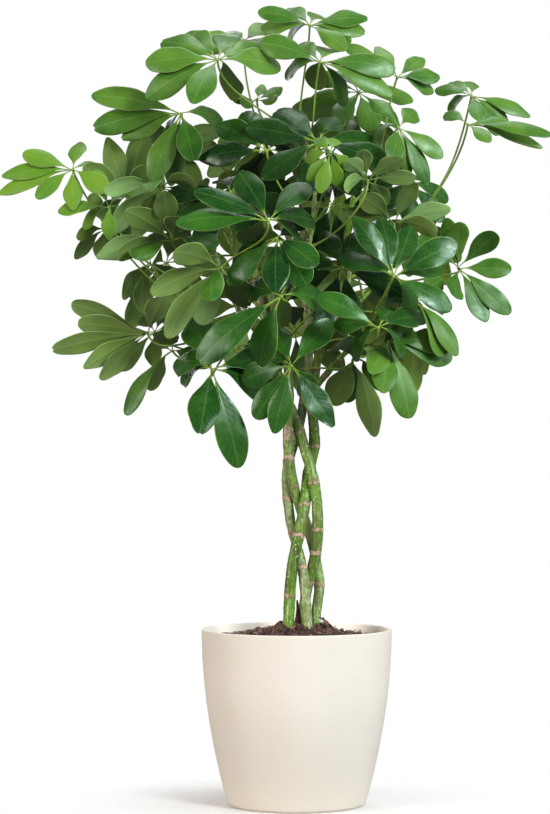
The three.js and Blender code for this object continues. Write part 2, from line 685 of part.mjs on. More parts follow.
// The room round a hub that other leaves keep out of.
function hubRoom(leaf) {
  const at = (t) => moved(leaf.hub, leaf.up, (t - 0.5) * 4 * HUB.half);
  return loft(tubeRings(at, () => HUB.radius + HUB.room, 1, 6));
}

// One closed surface: a hub whose sides run out into the leaflets. A leaflet ends in its tip's two corners.
function umbrella(leaf) {
  const count = leaf.leaflets.length;
  const points = [];
  for (const height of [HUB.half, -HUB.half])
    for (let k = 0; k < count; k++) {
      const before = k === 0 ? leaf.leaflets[count - 1].turn - 360 : leaf.leaflets[k - 1].turn;
      const corner = between(leaf.across, leaf.down, rad((before + leaf.leaflets[k].turn) / 2));
      points.push(moved(moved(leaf.hub, corner, HUB.radius), leaf.up, height));
    }
  const faces = [];
  for (let k = 2; k < count; k++) faces.push(0, k, k - 1, count, count + k - 1, count + k);
  leaf.leaflets.forEach(({ rings }, k) => {
    const next = (k + 1) % count;
    let lower = [k, next, count + next, count + k];
    for (const ring of rings.slice(1, -1)) {
      const upper = ring.map((_, i) => points.length + i);
      points.push(...ring);
      stitch(faces, lower, upper);
      lower = upper;
    }
    const [left, right] = [points.length, points.length + 1];
    const [leftCorner, , rightCorner] = rings[rings.length - 1];
    points.push(leftCorner, rightCorner);
    stitch(faces, lower, [left, right, right, left]);
  });
  return solid(points, faces);
}

// Growing the leaves clear of each other

const grown = [];

function keep(made, owner) {
  const { min, max } = made.boundingBox();
  grown.push({ made, owner, min, max });
}

// Whether a piece cuts nothing that has grown. Only its outer part is held against its own leaf's pieces.
function isClear(whole, outerPart, owner) {
  const { min, max } = whole.boundingBox();
  return grown.every((other) => {
    for (let c = 0; c < 3; c++)
      if (other.max[c] < min[c] || other.min[c] > max[c]) return true;
    const tested = other.owner === owner ? outerPart : whole;
    return tested.intersect(other.made).getMesh().numVert === 0;
  });
}

function* petioleChoices(leaf, places) {
  for (const place of placesFor(leaf, places))
    for (const sway of SWAYS)
      for (const seat of SEATS) yield { place, sway, seat };
}

function growPetiole(leaf, places) {
  for (const choice of petioleChoices(leaf, places)) {
    const padded = petioleRings(leaf, choice, GAP * 0.9);
    if (!isClear(loft(padded), loft(padded.slice(0, -1)), leaf)) continue;
    choice.place.taken = true;
    leaf.petiole = loft(petioleRings(leaf, choice));
    keep(leaf.petiole, leaf);
    return;
  }
  throw new Error(`leaf ${leaf.number} has no clear way to a stem`);
}

function* leafletChoices() {
  for (const size of SIZES)
    for (const roll of ROLLS)
      for (const lift of LIFTS)
        for (const turn of TURNS) yield { size, roll, lift, turn };
}

// A leaflet with no clear place is left out.
function growLeaflets(leaf) {
  leaf.leaflets = [];
  for (let k = 0; k < leaf.plans.length; k++) {
    for (const change of leafletChoices()) {
      const padded = leafletRings(leaf, k, change, GAP).rings;
      if (!isClear(loft(padded), loft(padded.slice(1)), leaf)) continue;
      const leaflet = leafletRings(leaf, k, change);
      keep(loft(leaflet.rings), leaf);
      leaf.leaflets.push(leaflet);
      break;
    }
  }
}

function growLeaves(stems) {
  const leaves = allLeaves();
  const places = growthPlaces(stems);
  for (const stem of stems) keep(stem.solid, stem);
  for (const leaf of leaves) keep(hubRoom(leaf), leaf);
  for (const leaf of leaves) growPetiole(leaf, places);
  for (const leaf of leaves) growLeaflets(leaf);
  return leaves;
}

// The plant

const plant = new THREE.Group();

function addPiece(name, made, look) {
  const mesh = made.getMesh();
  const flat = new Float32Array(mesh.numVert * 3);
  for (let i = 0; i < mesh.numVert; i++) {
    const start = i * mesh.numProp;
    flat.set(mesh.vertProperties.subarray(start, start + 3), i * 3);
  }
  const geometry = new THREE.BufferGeometry();
  geometry.setAttribute("position", new THREE.BufferAttribute(flat, 3));
  geometry.setIndex(new THREE.BufferAttribute(mesh.triVerts, 1));
  geometry.computeVertexNormals();
  const piece = new THREE.Mesh(geometry, new THREE.MeshStandardMaterial(LOOKS[look]));
  piece.name = name;
  plant.add(piece);
}

const lines = braidedLines();
const stems = STEMS.map((stem, i) => makeStem(stem, lines[i]));
addPiece("pot", makePot(), "pot");
addPiece("soil", makeSoil(stems), "soil");
for (const stem of stems) addPiece(stem.name, stem.solid, "stem");
for (const leaf of growLeaves(stems)) {
  const name = `leaf_${String(leaf.number).padStart(2, "0")}`;
  addPiece(name, umbrella(leaf).add(leaf.petiole), leaf.tone);
}

export default plant;
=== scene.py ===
"""The looks of a potted umbrella plant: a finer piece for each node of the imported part, with its materials.

Lengths are in millimetres until a mesh is made. Every draw is seeded, so each run gives the same plant.
"""

import json

import bpy
import numpy as np
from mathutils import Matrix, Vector


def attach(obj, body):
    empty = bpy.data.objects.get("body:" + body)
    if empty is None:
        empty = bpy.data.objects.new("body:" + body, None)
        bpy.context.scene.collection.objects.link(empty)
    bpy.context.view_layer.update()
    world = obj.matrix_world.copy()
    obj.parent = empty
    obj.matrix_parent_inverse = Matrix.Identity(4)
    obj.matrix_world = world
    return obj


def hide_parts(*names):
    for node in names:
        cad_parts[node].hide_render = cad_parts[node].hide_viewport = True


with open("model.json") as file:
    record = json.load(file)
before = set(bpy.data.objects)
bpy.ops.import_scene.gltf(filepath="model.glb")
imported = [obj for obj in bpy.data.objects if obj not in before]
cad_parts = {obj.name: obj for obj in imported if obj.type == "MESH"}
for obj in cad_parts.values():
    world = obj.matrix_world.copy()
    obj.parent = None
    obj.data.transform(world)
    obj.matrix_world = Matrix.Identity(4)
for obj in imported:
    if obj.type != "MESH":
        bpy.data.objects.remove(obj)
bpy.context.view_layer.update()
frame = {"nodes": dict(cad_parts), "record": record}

MM = 0.001
TURN = 2 * np.pi
LEAF_NODES = sorted(name for name in frame["nodes"] if name.startswith("leaf_"))
SLOTS = {row["node"]: row["material_slot"] for row in frame["record"]["subparts"]}
SEEDS = {"leaf": 4000, "stem": 700, "soil": 91, "crumbs": 17}  # plus the leaf's or stem's number


# Small helpers


def unit(v):
    """Vectors of length one that point the same way."""
    return v / np.linalg.norm(v, axis=-1, keepdims=True)


def step(low, high, x):
    """0 up to the low end, 1 from the high end, and smooth between them."""
    t = np.clip((np.asarray(x, float) - low) / (high - low), 0, 1)
    return t * t * (3 - 2 * t)


def bell(x, width):
    """1 where x is 0, and close to 0 where it is twice the width."""
    return np.exp(-((x / width) ** 2))


def spline(knots, values, s):
    """A smooth curve through the values at the knots, read at s."""
    knots, values, s = (np.asarray(a, float) for a in (knots, values, s))
    slopes = np.diff(values, axis=0) / np.diff(knots)[:, None]
    tangents = np.vstack([slopes[:1], (slopes[:-1] + slopes[1:]) / 2, slopes[-1:]])
    i = np.clip(np.searchsorted(knots, s, "right") - 1, 0, len(knots) - 2)
    width = (knots[i + 1] - knots[i])[..., None]
    t = (s - knots[i])[..., None] / width
    return (
        (2 * t**3 - 3 * t**2 + 1) * values[i]
        + (t**3 - 2 * t**2 + t) * width * tangents[i]
        + (3 * t**2 - 2 * t**3) * values[i + 1]
        + (t**3 - t**2) * width * tangents[i + 1]
    )


ASIDE = [0.3, 0.9, 0.1]  # a frame's first axis is square to this as well as to its up


def frame_of(up):
    """Rows of three axes, of which the last is up."""
    side = unit(np.cross(up, ASIDE))
    return np.array([side, np.cross(up, side), up])


class Waves:
    """Smooth noise, mostly from -1 to 1, as a sum of waves in seeded directions."""

    def __init__(self, seed, length, count=14):
        rng = np.random.default_rng(seed)
        self.ways = unit(rng.normal(size=(count, 3))) * (TURN / length)
        self.ways *= rng.uniform(0.6, 1.6, (count, 1))
        self.phases = rng.uniform(0, TURN, count)

    def __call__(self, points):
        return np.sin(points @ self.ways.T + self.phases).sum(1) / np.sqrt(2 * len(self.phases))


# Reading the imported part

ROUNDING = 1e-3  # points that are the same when rounded to this are one point
HUB_CROWD = 4.0  # at the hub, more points than elsewhere lie nearer than this to one of them
HUB_CATCH = 3.6  # the hub's middle is the mean of the points nearer than this to it
HUB_ROOM = 7.0  # nearer than this to the middle of a hub lies only the hub
HUB_SIZE = 3.4  # the hub's own corners lie nearer than this to its middle
LEAST_AREA = 1e-3  # twice the area of a triangle that is too small to face any way
SAME_WAY = 0.9999  # unit vectors whose product is above this point the same way
STATIONS = [0.0, 0.2, 0.45, 0.76, 1.03]  # where a leaflet's rings lie, as a share of its reach
ROOT = {"away": 2.0, "half": 0.6}  # a leaflet's start: how far from the hub's middle, and its half width
TIP_RISE = 0.5  # the share of the last ring's rise that the tip has


def mesh_points(mesh):
    """The mesh's points in metres, as Blender keeps them."""
    flat = np.empty(len(mesh.vertices) * 3, np.float32)
    mesh.vertices.foreach_get("co", flat)
    return flat.reshape(-1, 3)


def cad_mesh(node):
    """A node's points, each once, and its triangles."""
    mesh = frame["nodes"][node].data
    points = mesh_points(mesh) / MM
    rounded = np.round(points / ROUNDING).astype(int)
    _, first, same = np.unique(rounded, axis=0, return_index=True, return_inverse=True)
    corners = np.array([p.vertices[:] for p in mesh.polygons])
    return points[first].astype(float), same.reshape(-1)[corners]


def neighbours(count, triangles):
    """For each point, the points that an edge joins it to."""
    near = [set() for _ in range(count)]
    for a, b, c in triangles:
        near[a] |= {b, c}
        near[b] |= {a, c}
        near[c] |= {a, b}
    return near


def levels(start, near, within):
    """The points within the set, sorted by how many edges they lie from the start."""
    found, seen = [], set(start)
    while True:
        edge = {n for i in (found[-1] if found else start) for n in near[i]} & (within - seen)
        if not edge:
            return found
        seen |= edge
        found.append(edge)


def parts_of(left, near):
    """The points, split into sets that no edge joins."""
    left, parts = set(left), []
    while left:
        part = {left.pop()}
        for level in levels(part, near, left):
            part |= level
        left -= part
        parts.append(part)
    return parts


def hub_middle(points):
    """The middle of the hub, round which the leaf's points crowd most."""
    apart = np.linalg.norm(points[:, None] - points[None], axis=2)
    crowd = apart[(apart < HUB_CROWD).sum(1).argmax()] < HUB_CROWD
    middle = points[crowd].mean(0)
    for _ in range(4):
        middle = points[np.linalg.norm(points - middle, axis=1) < HUB_CATCH].mean(0)
    return middle


def hub_up(points, triangles, hub, below):
    """The way that the hub's flat top faces: that of its widest flat side, away from the petiole."""
    close = np.linalg.norm(points - hub, axis=1) < HUB_SIZE
    a, b, c = (points[triangles[close[triangles].all(1)][:, k]] for k in range(3))
    doubled = np.cross(b - a, c - a)
    areas = np.linalg.norm(doubled, axis=1)
    clear = areas > LEAST_AREA
    ways = unit(doubled[clear])
    alike = (ways @ ways.T > SAME_WAY) @ areas[clear]
    up = ways[alike.argmax()]
    return up if (hub - below) @ up > 0 else -up


def opposite_pairs(ring, near):
    """A ring of four as its two pairs of opposite points."""
    ring = sorted(ring)
    partner = next(i for i in ring[1:] if i not in near[ring[0]])
    return [(ring[0], partner), tuple(i for i in ring if i not in (ring[0], partner))]


def ordered(pair, way):
    """The two points, of which the first lies farther that way."""
    return pair if (pair[0] - pair[1]) @ way >= 0 else pair[::-1]


def read_leaflet(points, near, rings, hub, up):
    """The leaflet's stations: middles, ways to the left, ways up, half widths and rises of the edges."""
    first = points[list(rings[0])].mean(0)
    out = first - hub
    out = unit(out - up * (out @ up))
    across = np.cross(up, out)
    wide = points[list(rings[1])] - points[list(rings[1])].mean(0)
    wide_way = wide[np.linalg.norm(wide, axis=1).argmax()]
    rows = [(hub + out * ROOT["away"], across, up, ROOT["half"], 0.0)]
    before = hub
    for ring in rings[:3]:
        pairs = [points[list(pair)] for pair in opposite_pairs(ring, near)]
        pairs.sort(key=lambda pair: abs((pair[0] - pair[1]) @ wide_way))
        top, bottom = ordered(pairs[0], rows[-1][2])
        middle = (top + bottom) / 2
        above = unit(top - bottom)
        left, right = ordered(pairs[1], np.cross(above, middle - before))
        side = left - right
        rise = ((left + right) / 2 - middle) @ above
        rows.append((middle, unit(side), above, np.linalg.norm(side) / 2, rise))
        before = middle
        wide_way = side
    a, b = ordered(points[list(rings[3])], rows[-1][1])
    side = unit(a - b)
    ahead = unit((a + b) / 2 - before)
    above = unit(np.cross(ahead, side))
    rise = rows[-1][4] * TIP_RISE
    rows.append(((a + b) / 2 - above * rise, side, above, np.linalg.norm(a - b) / 2, rise))
    return [np.array(column, float) for column in zip(*rows)]


def read_leaf(node):
    """A leaf's hub, petiole and leaflets, which are sorted round the hub, as its solid has them."""
    points, triangles = cad_mesh(node)
    near = neighbours(len(points), triangles)
    hub = hub_middle(points)
    at_hub = set(np.flatnonzero(np.linalg.norm(points - hub, axis=1) < HUB_ROOM))
    outer = set(range(len(points))) - at_hub
    parts = [levels(at_hub, near, part) for part in parts_of(outer, near)]
    leaflets = [rings for rings in parts if [len(r) for r in rings] == [4, 4, 4, 2]]
    (stalk,) = [rings for rings in parts if [len(r) for r in rings] == [3, 3, 3]]
    if len(leaflets) + 1 != len(parts):
        raise ValueError(f"{node} has a part that is neither a leaflet nor the petiole")
    path = [points[list(ring)].mean(0) for ring in reversed(stalk)] + [hub]
    up = hub_up(points, triangles, hub, path[2])
    foot = points[list(stalk[-1])]
    outward = unit(np.cross(foot[1] - foot[0], foot[2] - foot[0]))
    if (path[1] - path[0]) @ outward < 0:
        outward = -outward

    def angle(rings):
        across, ahead, _ = frame_of(up) @ (points[list(rings[0])].mean(0) - hub)
        return np.arctan2(across, ahead)

    leaflets.sort(key=angle)
    blades = [read_leaflet(points, near, rings, hub, up) for rings in leaflets]
    return {"hub": hub, "up": up, "path": np.array(path), "outward": outward, "blades": blades}


# Making meshes


def placed(name, data):
    """A new object in the scene."""
    made = bpy.data.objects.new(name, data)
    bpy.context.scene.collection.objects.link(made)
    return made


class Shape:
    """Points, faces and point values gathered for one piece."""

    def __init__(self):
        self.points, self.faces, self.values, self.count = [], [], {}, 0

    def add(self, points, faces, **values):
        """Adds a form, with a value for each point or one for all of them."""
        self.points.append(points)
        self.faces.extend([[i + self.count for i in face] for face in faces])
        for name, value in values.items():
            self.values.setdefault(name, []).append(np.broadcast_to(np.ravel(value), len(points)))
        self.count += len(points)

    def piece(self, name, material, node=None, smooth=True):
        """Makes the piece, which rides on the root body."""
        mesh = bpy.data.meshes.new(name)
        mesh.from_pydata((np.vstack(self.points) * MM).tolist(), [], self.faces)
        for key, value in self.values.items():
            layer = mesh.attributes.new(key, "FLOAT", "POINT")
            layer.data.foreach_set("value", np.concatenate(value).astype(np.float32))
        if smooth:
            mesh.shade_smooth()
        mesh.materials.append(material)
        made = placed(name, mesh)
        if node:
            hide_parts(node)
        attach(made, "root")


def circle(radius, z, sides):
    """The points of a level ring round the upright axis."""
    angles = np.linspace(0, TURN, sides, endpoint=False)
    return np.stack([radius * np.cos(angles), radius * np.sin(angles), np.full(sides, z)], axis=1)


def ring_faces(rows, columns):
    """Quads of a tube whose rings turn right-handed about the way along."""
    faces = []
    for j in range(rows - 1):
        for i in range(columns):
            k = (i + 1) % columns
            faces.append([j * columns + i, j * columns + k, (j + 1) * columns + k, (j + 1) * columns + i])
    return faces


def closed_faces(rows, columns):
    """The same, with a flat face at each end."""
    last = (rows - 1) * columns
    ends = [list(range(columns))[::-1], [last + i for i in range(columns)]]
    return ring_faces(rows, columns) + ends


def closed_rings(rings, bottom, top):
    """A surface through level rings, closed by fans round points on the upright axis at the two heights."""
    sides = len(rings[0])
    points = np.vstack([*rings, [[0, 0, bottom], [0, 0, top]]])
    faces = ring_faces(len(rings), sides)
    first, last = len(points) - 2, len(points) - 1
    end = (len(rings) - 1) * sides
    for i in range(sides):
        k = (i + 1) % sides
        faces += [[first, k, i], [last, end + i, end + k]]
    return points, faces


def tube(path, radii, sides):
    """A closed tube along a path."""
    ahead = unit(np.gradient(path, axis=0))
    angles = np.linspace(0, TURN, sides, endpoint=False)
    side = np.array([0.0, 0.0, 1.0])
    if abs(side @ ahead[0]) > 0.9:
        side = np.array([1.0, 0.0, 0.0])
    rings = []
    for point, way, radius in zip(path, ahead, radii):
        side = unit(side - way * (side @ way))
        other = np.cross(way, side)
        rings.append(point + radius * (np.outer(np.cos(angles), side) + np.outer(np.sin(angles), other)))
    return np.vstack(rings), closed_faces(len(path), sides)


def knob(middle, axes, radii):
    rows, sides = 6, 10
    heights = np.cos(np.linspace(np.pi, 0, rows + 2)[1:-1])
    points = np.vstack([circle(np.sqrt(1 - h * h), h, sides) for h in heights])
    return points * radii @ axes + middle, closed_faces(rows, sides)


# Leaves

# A leaflet's grid of points: from its left edge, at 1, to its right one, and from its hub, at 0, to its tip.
COLUMNS = np.array([1, 0.92, 0.76, 0.54, 0.3, 0.1, 0, -0.1, -0.3, -0.54, -0.76, -0.92, -1])
ROWS = np.array([
    0, 0.06, 0.11, 0.155, 0.2, 0.26, 0.33, 0.4, 0.48, 0.56, 0.64, 0.72, 0.79, 0.85, 0.9, 0.94, 0.975, 1, 1.02,
])
# Places along a leaflet, as shares of its reach, and its width there, as a share of that of its widest ring.
OUTLINE = [
    (0, 0), (0.09, 0.03), (0.14, 0.1), (0.2, 0.21), (0.27, 0.36), (0.33, 0.5), (0.4, 0.66), (0.48, 0.83),
    (0.56, 0.96), (0.65, 1.04), (0.74, 1.05), (0.82, 1), (0.9, 0.87), (0.96, 0.73), (1, 0.6), (1.03, 0.46),
]
WIDEST = 3  # the widest ring's number among the stations
BLADE = (0.09, 0.2)  # the stalk turns into the blade between these shares of the reach
TAPER = (0.55, 1.08)  # a pointed leaflet narrows between these
TIP = (0.78, 1.02)  # the end is rounded between these
USUAL = {"reach": 70, "half": 13}  # the leaflet that the sizes in the next line fit
LEAFLET = {"stalk": 0.62, "thick": 0.42, "midrib": 0.5, "groove": 0.12, "rib_half": 0.8, "wave": 0.7}
THINNER = {"edge": 0.35, "rib": 0.75}  # how much the blade thins to its edge, and the midrib to the tip
RISE_LIMIT = 0.35  # the most that a blade's edge rises or falls, as a share of its half width
# How far a round end and a notch reach along the leaflet, and the notch's width across it, as shares.
END = {"round": 0.045, "notch": 0.02, "notch_width": 0.16}
# What differs from one leaflet to the next.
VARIED = {
    "round": (0.9, 1.6), "notch": (0, 1.2), "pointed": (-0.12, 0.38), "curl": (-0.02, 0.14),
    "ripples": (1.6, 2.8), "shift": (0, 2),
}
NOTCHED = 0.4  # the share of leaflets that have a notch
PETIOLE = {"slim": 1.02, "foot": 1.1, "foot_length": 3.5, "neck": 0.25, "neck_length": 4, "buried": 2.2}
HUB_RADII = np.array([1.75, 1.75, 1.45])
CROWN = np.array([-20.0, 10.0, 560.0])  # the middle of the crown
OUTER = (90, 230)  # partly fresher growth and partly painted light: leaves get fresher and lighter between these distances from the middle of the crown
# Painted shade: leaflets near the middle of the crown are painted darker, where shade falls.
DEEP = (80, 190)  # leaflets get darker towards the middle between these distances from it


def leaflet_faces():
    """The faces of any leaflet: rings of its top and bottom, closed at the stalk and at the tip."""
    wide = len(COLUMNS)
    around = 2 * wide - 2
    faces = ring_faces(len(ROWS), around)
    faces.append(list(range(around))[::-1])
    last = (len(ROWS) - 1) * around
    opposite = [0] + [around - i for i in range(1, wide - 1)] + [wide - 1]
    for i in range(wide - 1):
        face = [i, i + 1, opposite[i + 1], opposite[i]]
        faces.append([last + k for k in dict.fromkeys(face)])
    return faces


def leaflet_shape(blade, rng):
    """Points and values of one leaflet, from its stalk to its tip."""
    middles, sides, ups, halves, rises = blade
    reach = np.linalg.norm(np.diff(middles, axis=0), axis=1).sum()
    widest = halves[WIDEST]
    around = np.concatenate([COLUMNS, COLUMNS[-2:0:-1]])
    is_top = np.arange(len(around)) < len(COLUMNS)
    out = np.tile(around, (len(ROWS), 1))
    along = np.tile(ROWS[:, None], (1, len(around)))
    off = np.abs(out)

    rounded = END["round"] * rng.uniform(*VARIED["round"])
    notch = END["notch"] * rng.uniform(*VARIED["notch"]) * (rng.random() < NOTCHED)
    pointed = rng.uniform(*VARIED["pointed"])
    curl = rng.uniform(*VARIED["curl"])
    tip = step(*TIP, along)
    notched = notch * bell(out, END["notch_width"]) * tip**3
    bent = along + tip * (rounded * (1 - off**2.2) - notched)
    outline = np.interp(along, *zip(*OUTLINE)) * widest
    is_blade = step(*BLADE, along)
    stalk = LEAFLET["stalk"] * (reach / USUAL["reach"]) ** 0.5
    half = np.maximum(outline * (1 - pointed * step(*TAPER, along)), stalk)
    centre = spline(STATIONS, middles, bent)
    across = unit(spline(STATIONS, sides, bent))
    above = unit(spline(STATIONS, ups, bent))

    rise = np.interp(along, STATIONS, rises) * half / np.maximum(np.interp(along, STATIONS, halves), 0.5)
    rise = np.clip(rise, -RISE_LIMIT * half, RISE_LIMIT * half)
    wave = LEAFLET["wave"] * widest / USUAL["half"] * is_blade
    phase = TURN * (rng.uniform(*VARIED["ripples"]) * along + rng.random())
    ripple = np.sin(phase + np.sign(out) * rng.uniform(*VARIED["shift"]))
    arch = rise * off**1.35 + wave * ripple * off**2 - curl * half * is_blade * off**3
    stalk_height = half * np.sqrt(np.maximum(0, 1 - out * out))
    rib = bell(out * half, LEAFLET["rib_half"]) * (1 - THINNER["rib"] * along)
    thin = LEAFLET["thick"] / 2 * (1 - THINNER["edge"] * out * out) * (off < 1)
    top = (1 - is_blade) * stalk_height + is_blade * (thin - LEAFLET["groove"] * rib)
    bottom = (1 - is_blade) * stalk_height + is_blade * (thin + LEAFLET["midrib"] * rib)
    height = arch + np.where(is_top, top, -bottom)

    points = centre + across * (out * half)[..., None] + above * height[..., None]
    is_top = np.where(off == 1, 0.5, is_top * 1.0)
    values = {"along": along, "across": out, "blade": is_blade, "top": is_top, "tint": rng.random()}
    return points.reshape(-1, 3), values


def petiole_shape(leaf):
    """The petiole, on the cubic curve that its four known points lie on."""
    p = leaf["path"]
    length = np.linalg.norm(np.diff(p, axis=0), axis=1).sum()
    t = np.linspace(0, 1, 18)[:, None]
    knots = [0, 1 / 3, 2 / 3, 1]
    curve = 0
    for knot, point in zip(knots, p):
        others = [k for k in knots if k != knot]
        weight = np.prod([t - k for k in others], axis=0) / np.prod([knot - k for k in others])
        curve = curve + weight * point
    curve = np.vstack([p[0] - leaf["outward"] * PETIOLE["buried"], curve])
    away = np.concatenate([[0], t[:, 0] * length])
    foot = PETIOLE["foot"] * np.exp(-away / PETIOLE["foot_length"])
    neck = PETIOLE["neck"] * np.exp(-(length - away) / PETIOLE["neck_length"])
    return tube(curve, PETIOLE["slim"] + foot + neck, 8)


def make_leaf(node, materials, number, blade_faces):
    """One leaf: its petiole, its hub and its leaflets."""
    leaf = read_leaf(node)
    rng = np.random.default_rng(SEEDS["leaf"] + number)
    shape = Shape()
    # Partly painted light: leaves away from the middle of the crown get lighter as well as fresher.
    outer = float(step(*OUTER, np.linalg.norm(leaf["hub"] - CROWN)))
    stalk = {"along": 0, "across": 0, "blade": 0, "top": 1, "outer": outer, "deep": 0}
    for points, faces in (petiole_shape(leaf), knob(leaf["hub"], frame_of(leaf["up"]), HUB_RADII)):
        shape.add(points, faces, tint=rng.random(), **stalk)
    for blade in leaf["blades"]:
        points, values = leaflet_shape(blade, rng)
        # Painted shade: 1 for a leaflet's points near the middle of the crown, where shade falls, and 0 far
        # from it.
        deep = 1 - step(*DEEP, np.linalg.norm(points - CROWN, axis=1))
        shape.add(points, blade_faces, outer=outer, deep=deep, **values)
    shape.piece(f"foliage_{node[-2:]}", materials[SLOTS[node]], node)


# Stems

# The heights of the leaf scars that show on each stem's trunk, and how yellow the stem is.
STEM_LOOKS = {
    "stem_right": ([218, 290, 318, 346, 409], 0.3),
    "stem_back": ([223, 251, 274, 322, 372], 0.1),
    "stem_left": ([208, 268, 298, 330, 358, 402], 0.0),
    "stem_front": ([236, 272, 305, 345, 384], 0.6),
}
STEM_SIDES = 6
UNEVEN = 0.05  # in a whole ring the corners' distances from its middle differ by less than this share
VOXEL = 1.0
SMOOTHING = {"rounds": 14, "pull": 0.55}
WIDER = 0.7  # how much thicker in radius a stem is than its solid
UPPER_SCARS = 23  # the usual distance between scars above the trunk
BLEND = 12  # within this length past the trunk's line, distances turn into those from its end
# How far a scar's line, the bare bark round it and its swelling reach along a stem, and two of their heights.
SCAR = {"line": 0.9, "bare": 2.6, "swelling": 7, "line_height": 0.32, "swelling_height": 0.45}
TILT = {"length": 25, "by": 0.7, "lean": 0.9}  # how a scar wanders and leans on its way round the stem
BARK_WAVES = [(20, 5, 0.12), (40, 14, 0.16)]  # seed, length and height of the bark's unevenness
FAINTER = {"from": 410, "to": 450, "by": 0.4}  # the scars' bare bark is fainter above these heights


def trunk_line(points, triangles):
    """The middles of the stem's rings from its buried end up, as far as the rings are whole."""
    near = neighbours(len(points), triangles)
    foot = set(np.argsort(points[:, 2])[:STEM_SIDES].tolist())
    middles = [points[list(foot)].mean(0)]
    for ring in levels(foot, near, set(range(len(points)))):
        if len(ring) != STEM_SIDES:
            break
        ring_points = points[list(ring)]
        spread = np.linalg.norm(ring_points - ring_points.mean(0), axis=1)
        if np.ptp(spread) > UNEVEN * spread.mean():
            break
        middles.append(ring_points.mean(0))
    return np.array(middles)


def summed(numbers, rows, count):
    """For each number below the count, the sum of the rows that have it."""
    return np.stack([np.bincount(numbers, column, count) for column in rows.T], axis=1)


def remeshed(points, triangles):
    """The surface in even small quads, smoothed."""
    mesh = bpy.data.meshes.new("coarse")
    mesh.from_pydata((points * MM).tolist(), [], triangles.tolist())
    coarse = placed("coarse", mesh)
    even = coarse.modifiers.new("even", "REMESH")
    even.mode = "VOXEL"
    even.voxel_size = VOXEL * MM
    fine = bpy.data.meshes.new_from_object(coarse.evaluated_get(bpy.context.evaluated_depsgraph_get()))
    bpy.data.objects.remove(coarse)
    surface = mesh_points(fine).astype(float) / MM
    edges = np.array([e.vertices[:] for e in fine.edges])
    faces = [list(p.vertices) for p in fine.polygons]
    bpy.data.meshes.remove(fine)
    degree = np.bincount(edges.ravel(), minlength=len(surface))[:, None]
    for _ in range(SMOOTHING["rounds"]):
        total = sum(summed(one, surface[other], len(surface)) for one, other in (edges.T, edges.T[::-1]))
        surface += SMOOTHING["pull"] * (total / degree - surface)
    return surface, faces


def normals(points, faces):
    """The way that the surface faces at each point."""
    quads = np.array([f if len(f) == 4 else f + f[-1:] for f in faces])
    a, b, c, d = (points[quads[:, k]] for k in range(4))
    face_ways = np.cross(c - a, d - b)
    return unit(sum(summed(corners, face_ways, len(points)) for corners in quads.T))


def distances_up(surface, rings):
    """The trunk's line in steps of 1 mm, and how far up it each step and each point of the surface is."""
    up_to_ring = np.concatenate([[0], np.cumsum(np.linalg.norm(np.diff(rings, axis=0), axis=1))])
    up_to_step = np.arange(0, up_to_ring[-1], 1.0)
    line = spline(up_to_ring, rings, up_to_step)
    nearest = np.empty(len(surface), int)
    at_once = 4000
    for start in range(0, len(surface), at_once):
        chunk = surface[start : start + at_once]
        nearest[start : start + at_once] = ((chunk[:, None] - line[None]) ** 2).sum(2).argmin(1)
    ahead = unit(np.gradient(line, axis=0))
    offset = surface - line[nearest]
    up = up_to_step[nearest] + (offset * ahead[nearest]).sum(1)
    beyond = np.linalg.norm(surface - line[-1], axis=1)
    past = step(0, BLEND, beyond) * (nearest >= len(line) - 2)
    return line, up_to_step, up * (1 - past) + (up_to_step[-1] + beyond) * past


def make_stem(node, material, number):
    """One stem with its side branches, leaf scars and uneven bark."""
    scar_heights, yellow = STEM_LOOKS[node]
    rng = np.random.default_rng(SEEDS["stem"] + number)
    points, triangles = cad_mesh(node)
    surface, faces = remeshed(points, triangles)
    outward = normals(surface, faces)
    line, up_to_step, up = distances_up(surface, trunk_line(points, triangles))
    scars = [float(np.interp(z, line[:, 2], up_to_step)) for z in scar_heights]
    high = scars[-1] + UPPER_SCARS
    while high < up.max():
        scars.append(high)
        high += UPPER_SCARS * rng.uniform(0.75, 1.25)
    tilt = Waves(number, TILT["length"])(surface) * TILT["by"]
    swell, ring, bare = (np.zeros(len(surface)) for _ in range(3))
    for k, scar in enumerate(scars):
        away = up - scar + tilt + TILT["lean"] * outward[:, k % 2] * rng.choice([-1, 1])
        ring = np.maximum(ring, bell(away, SCAR["line"]) * rng.uniform(0.7, 1.0))
        bare = np.maximum(bare, bell(away, SCAR["bare"]) * rng.uniform(0.6, 1.0))
        swell += bell(away, SCAR["swelling"]) * rng.uniform(0.5, 1.0)
    bare *= 1 - FAINTER["by"] * step(FAINTER["from"], FAINTER["to"], surface[:, 2])
    rough = sum(high * Waves(number + seed, length)(surface) for seed, length, high in BARK_WAVES)
    thicker = WIDER + SCAR["swelling_height"] * swell + SCAR["line_height"] * ring + rough
    surface = surface + outward * thicker[:, None]
    shape = Shape()
    shape.add(surface, faces, scar=ring, near_scar=bare, height=surface[:, 2] / 100, yellow=yellow)
    shape.piece(node.replace("stem", "braid"), material, node)


# Pot and soil

POT = {"rim": 94.9, "foot": 68, "height": 175, "wall": 4, "lip": 2.6, "floor": 5, "bulge": 0.86}
POT_SIDES = 144
POT_SIDE = {"from": 4, "below_top": 1.6, "rings": 40}
POT_WALL = {"below_top": 6, "above_floor": 1, "corner": 2, "rings": 16}
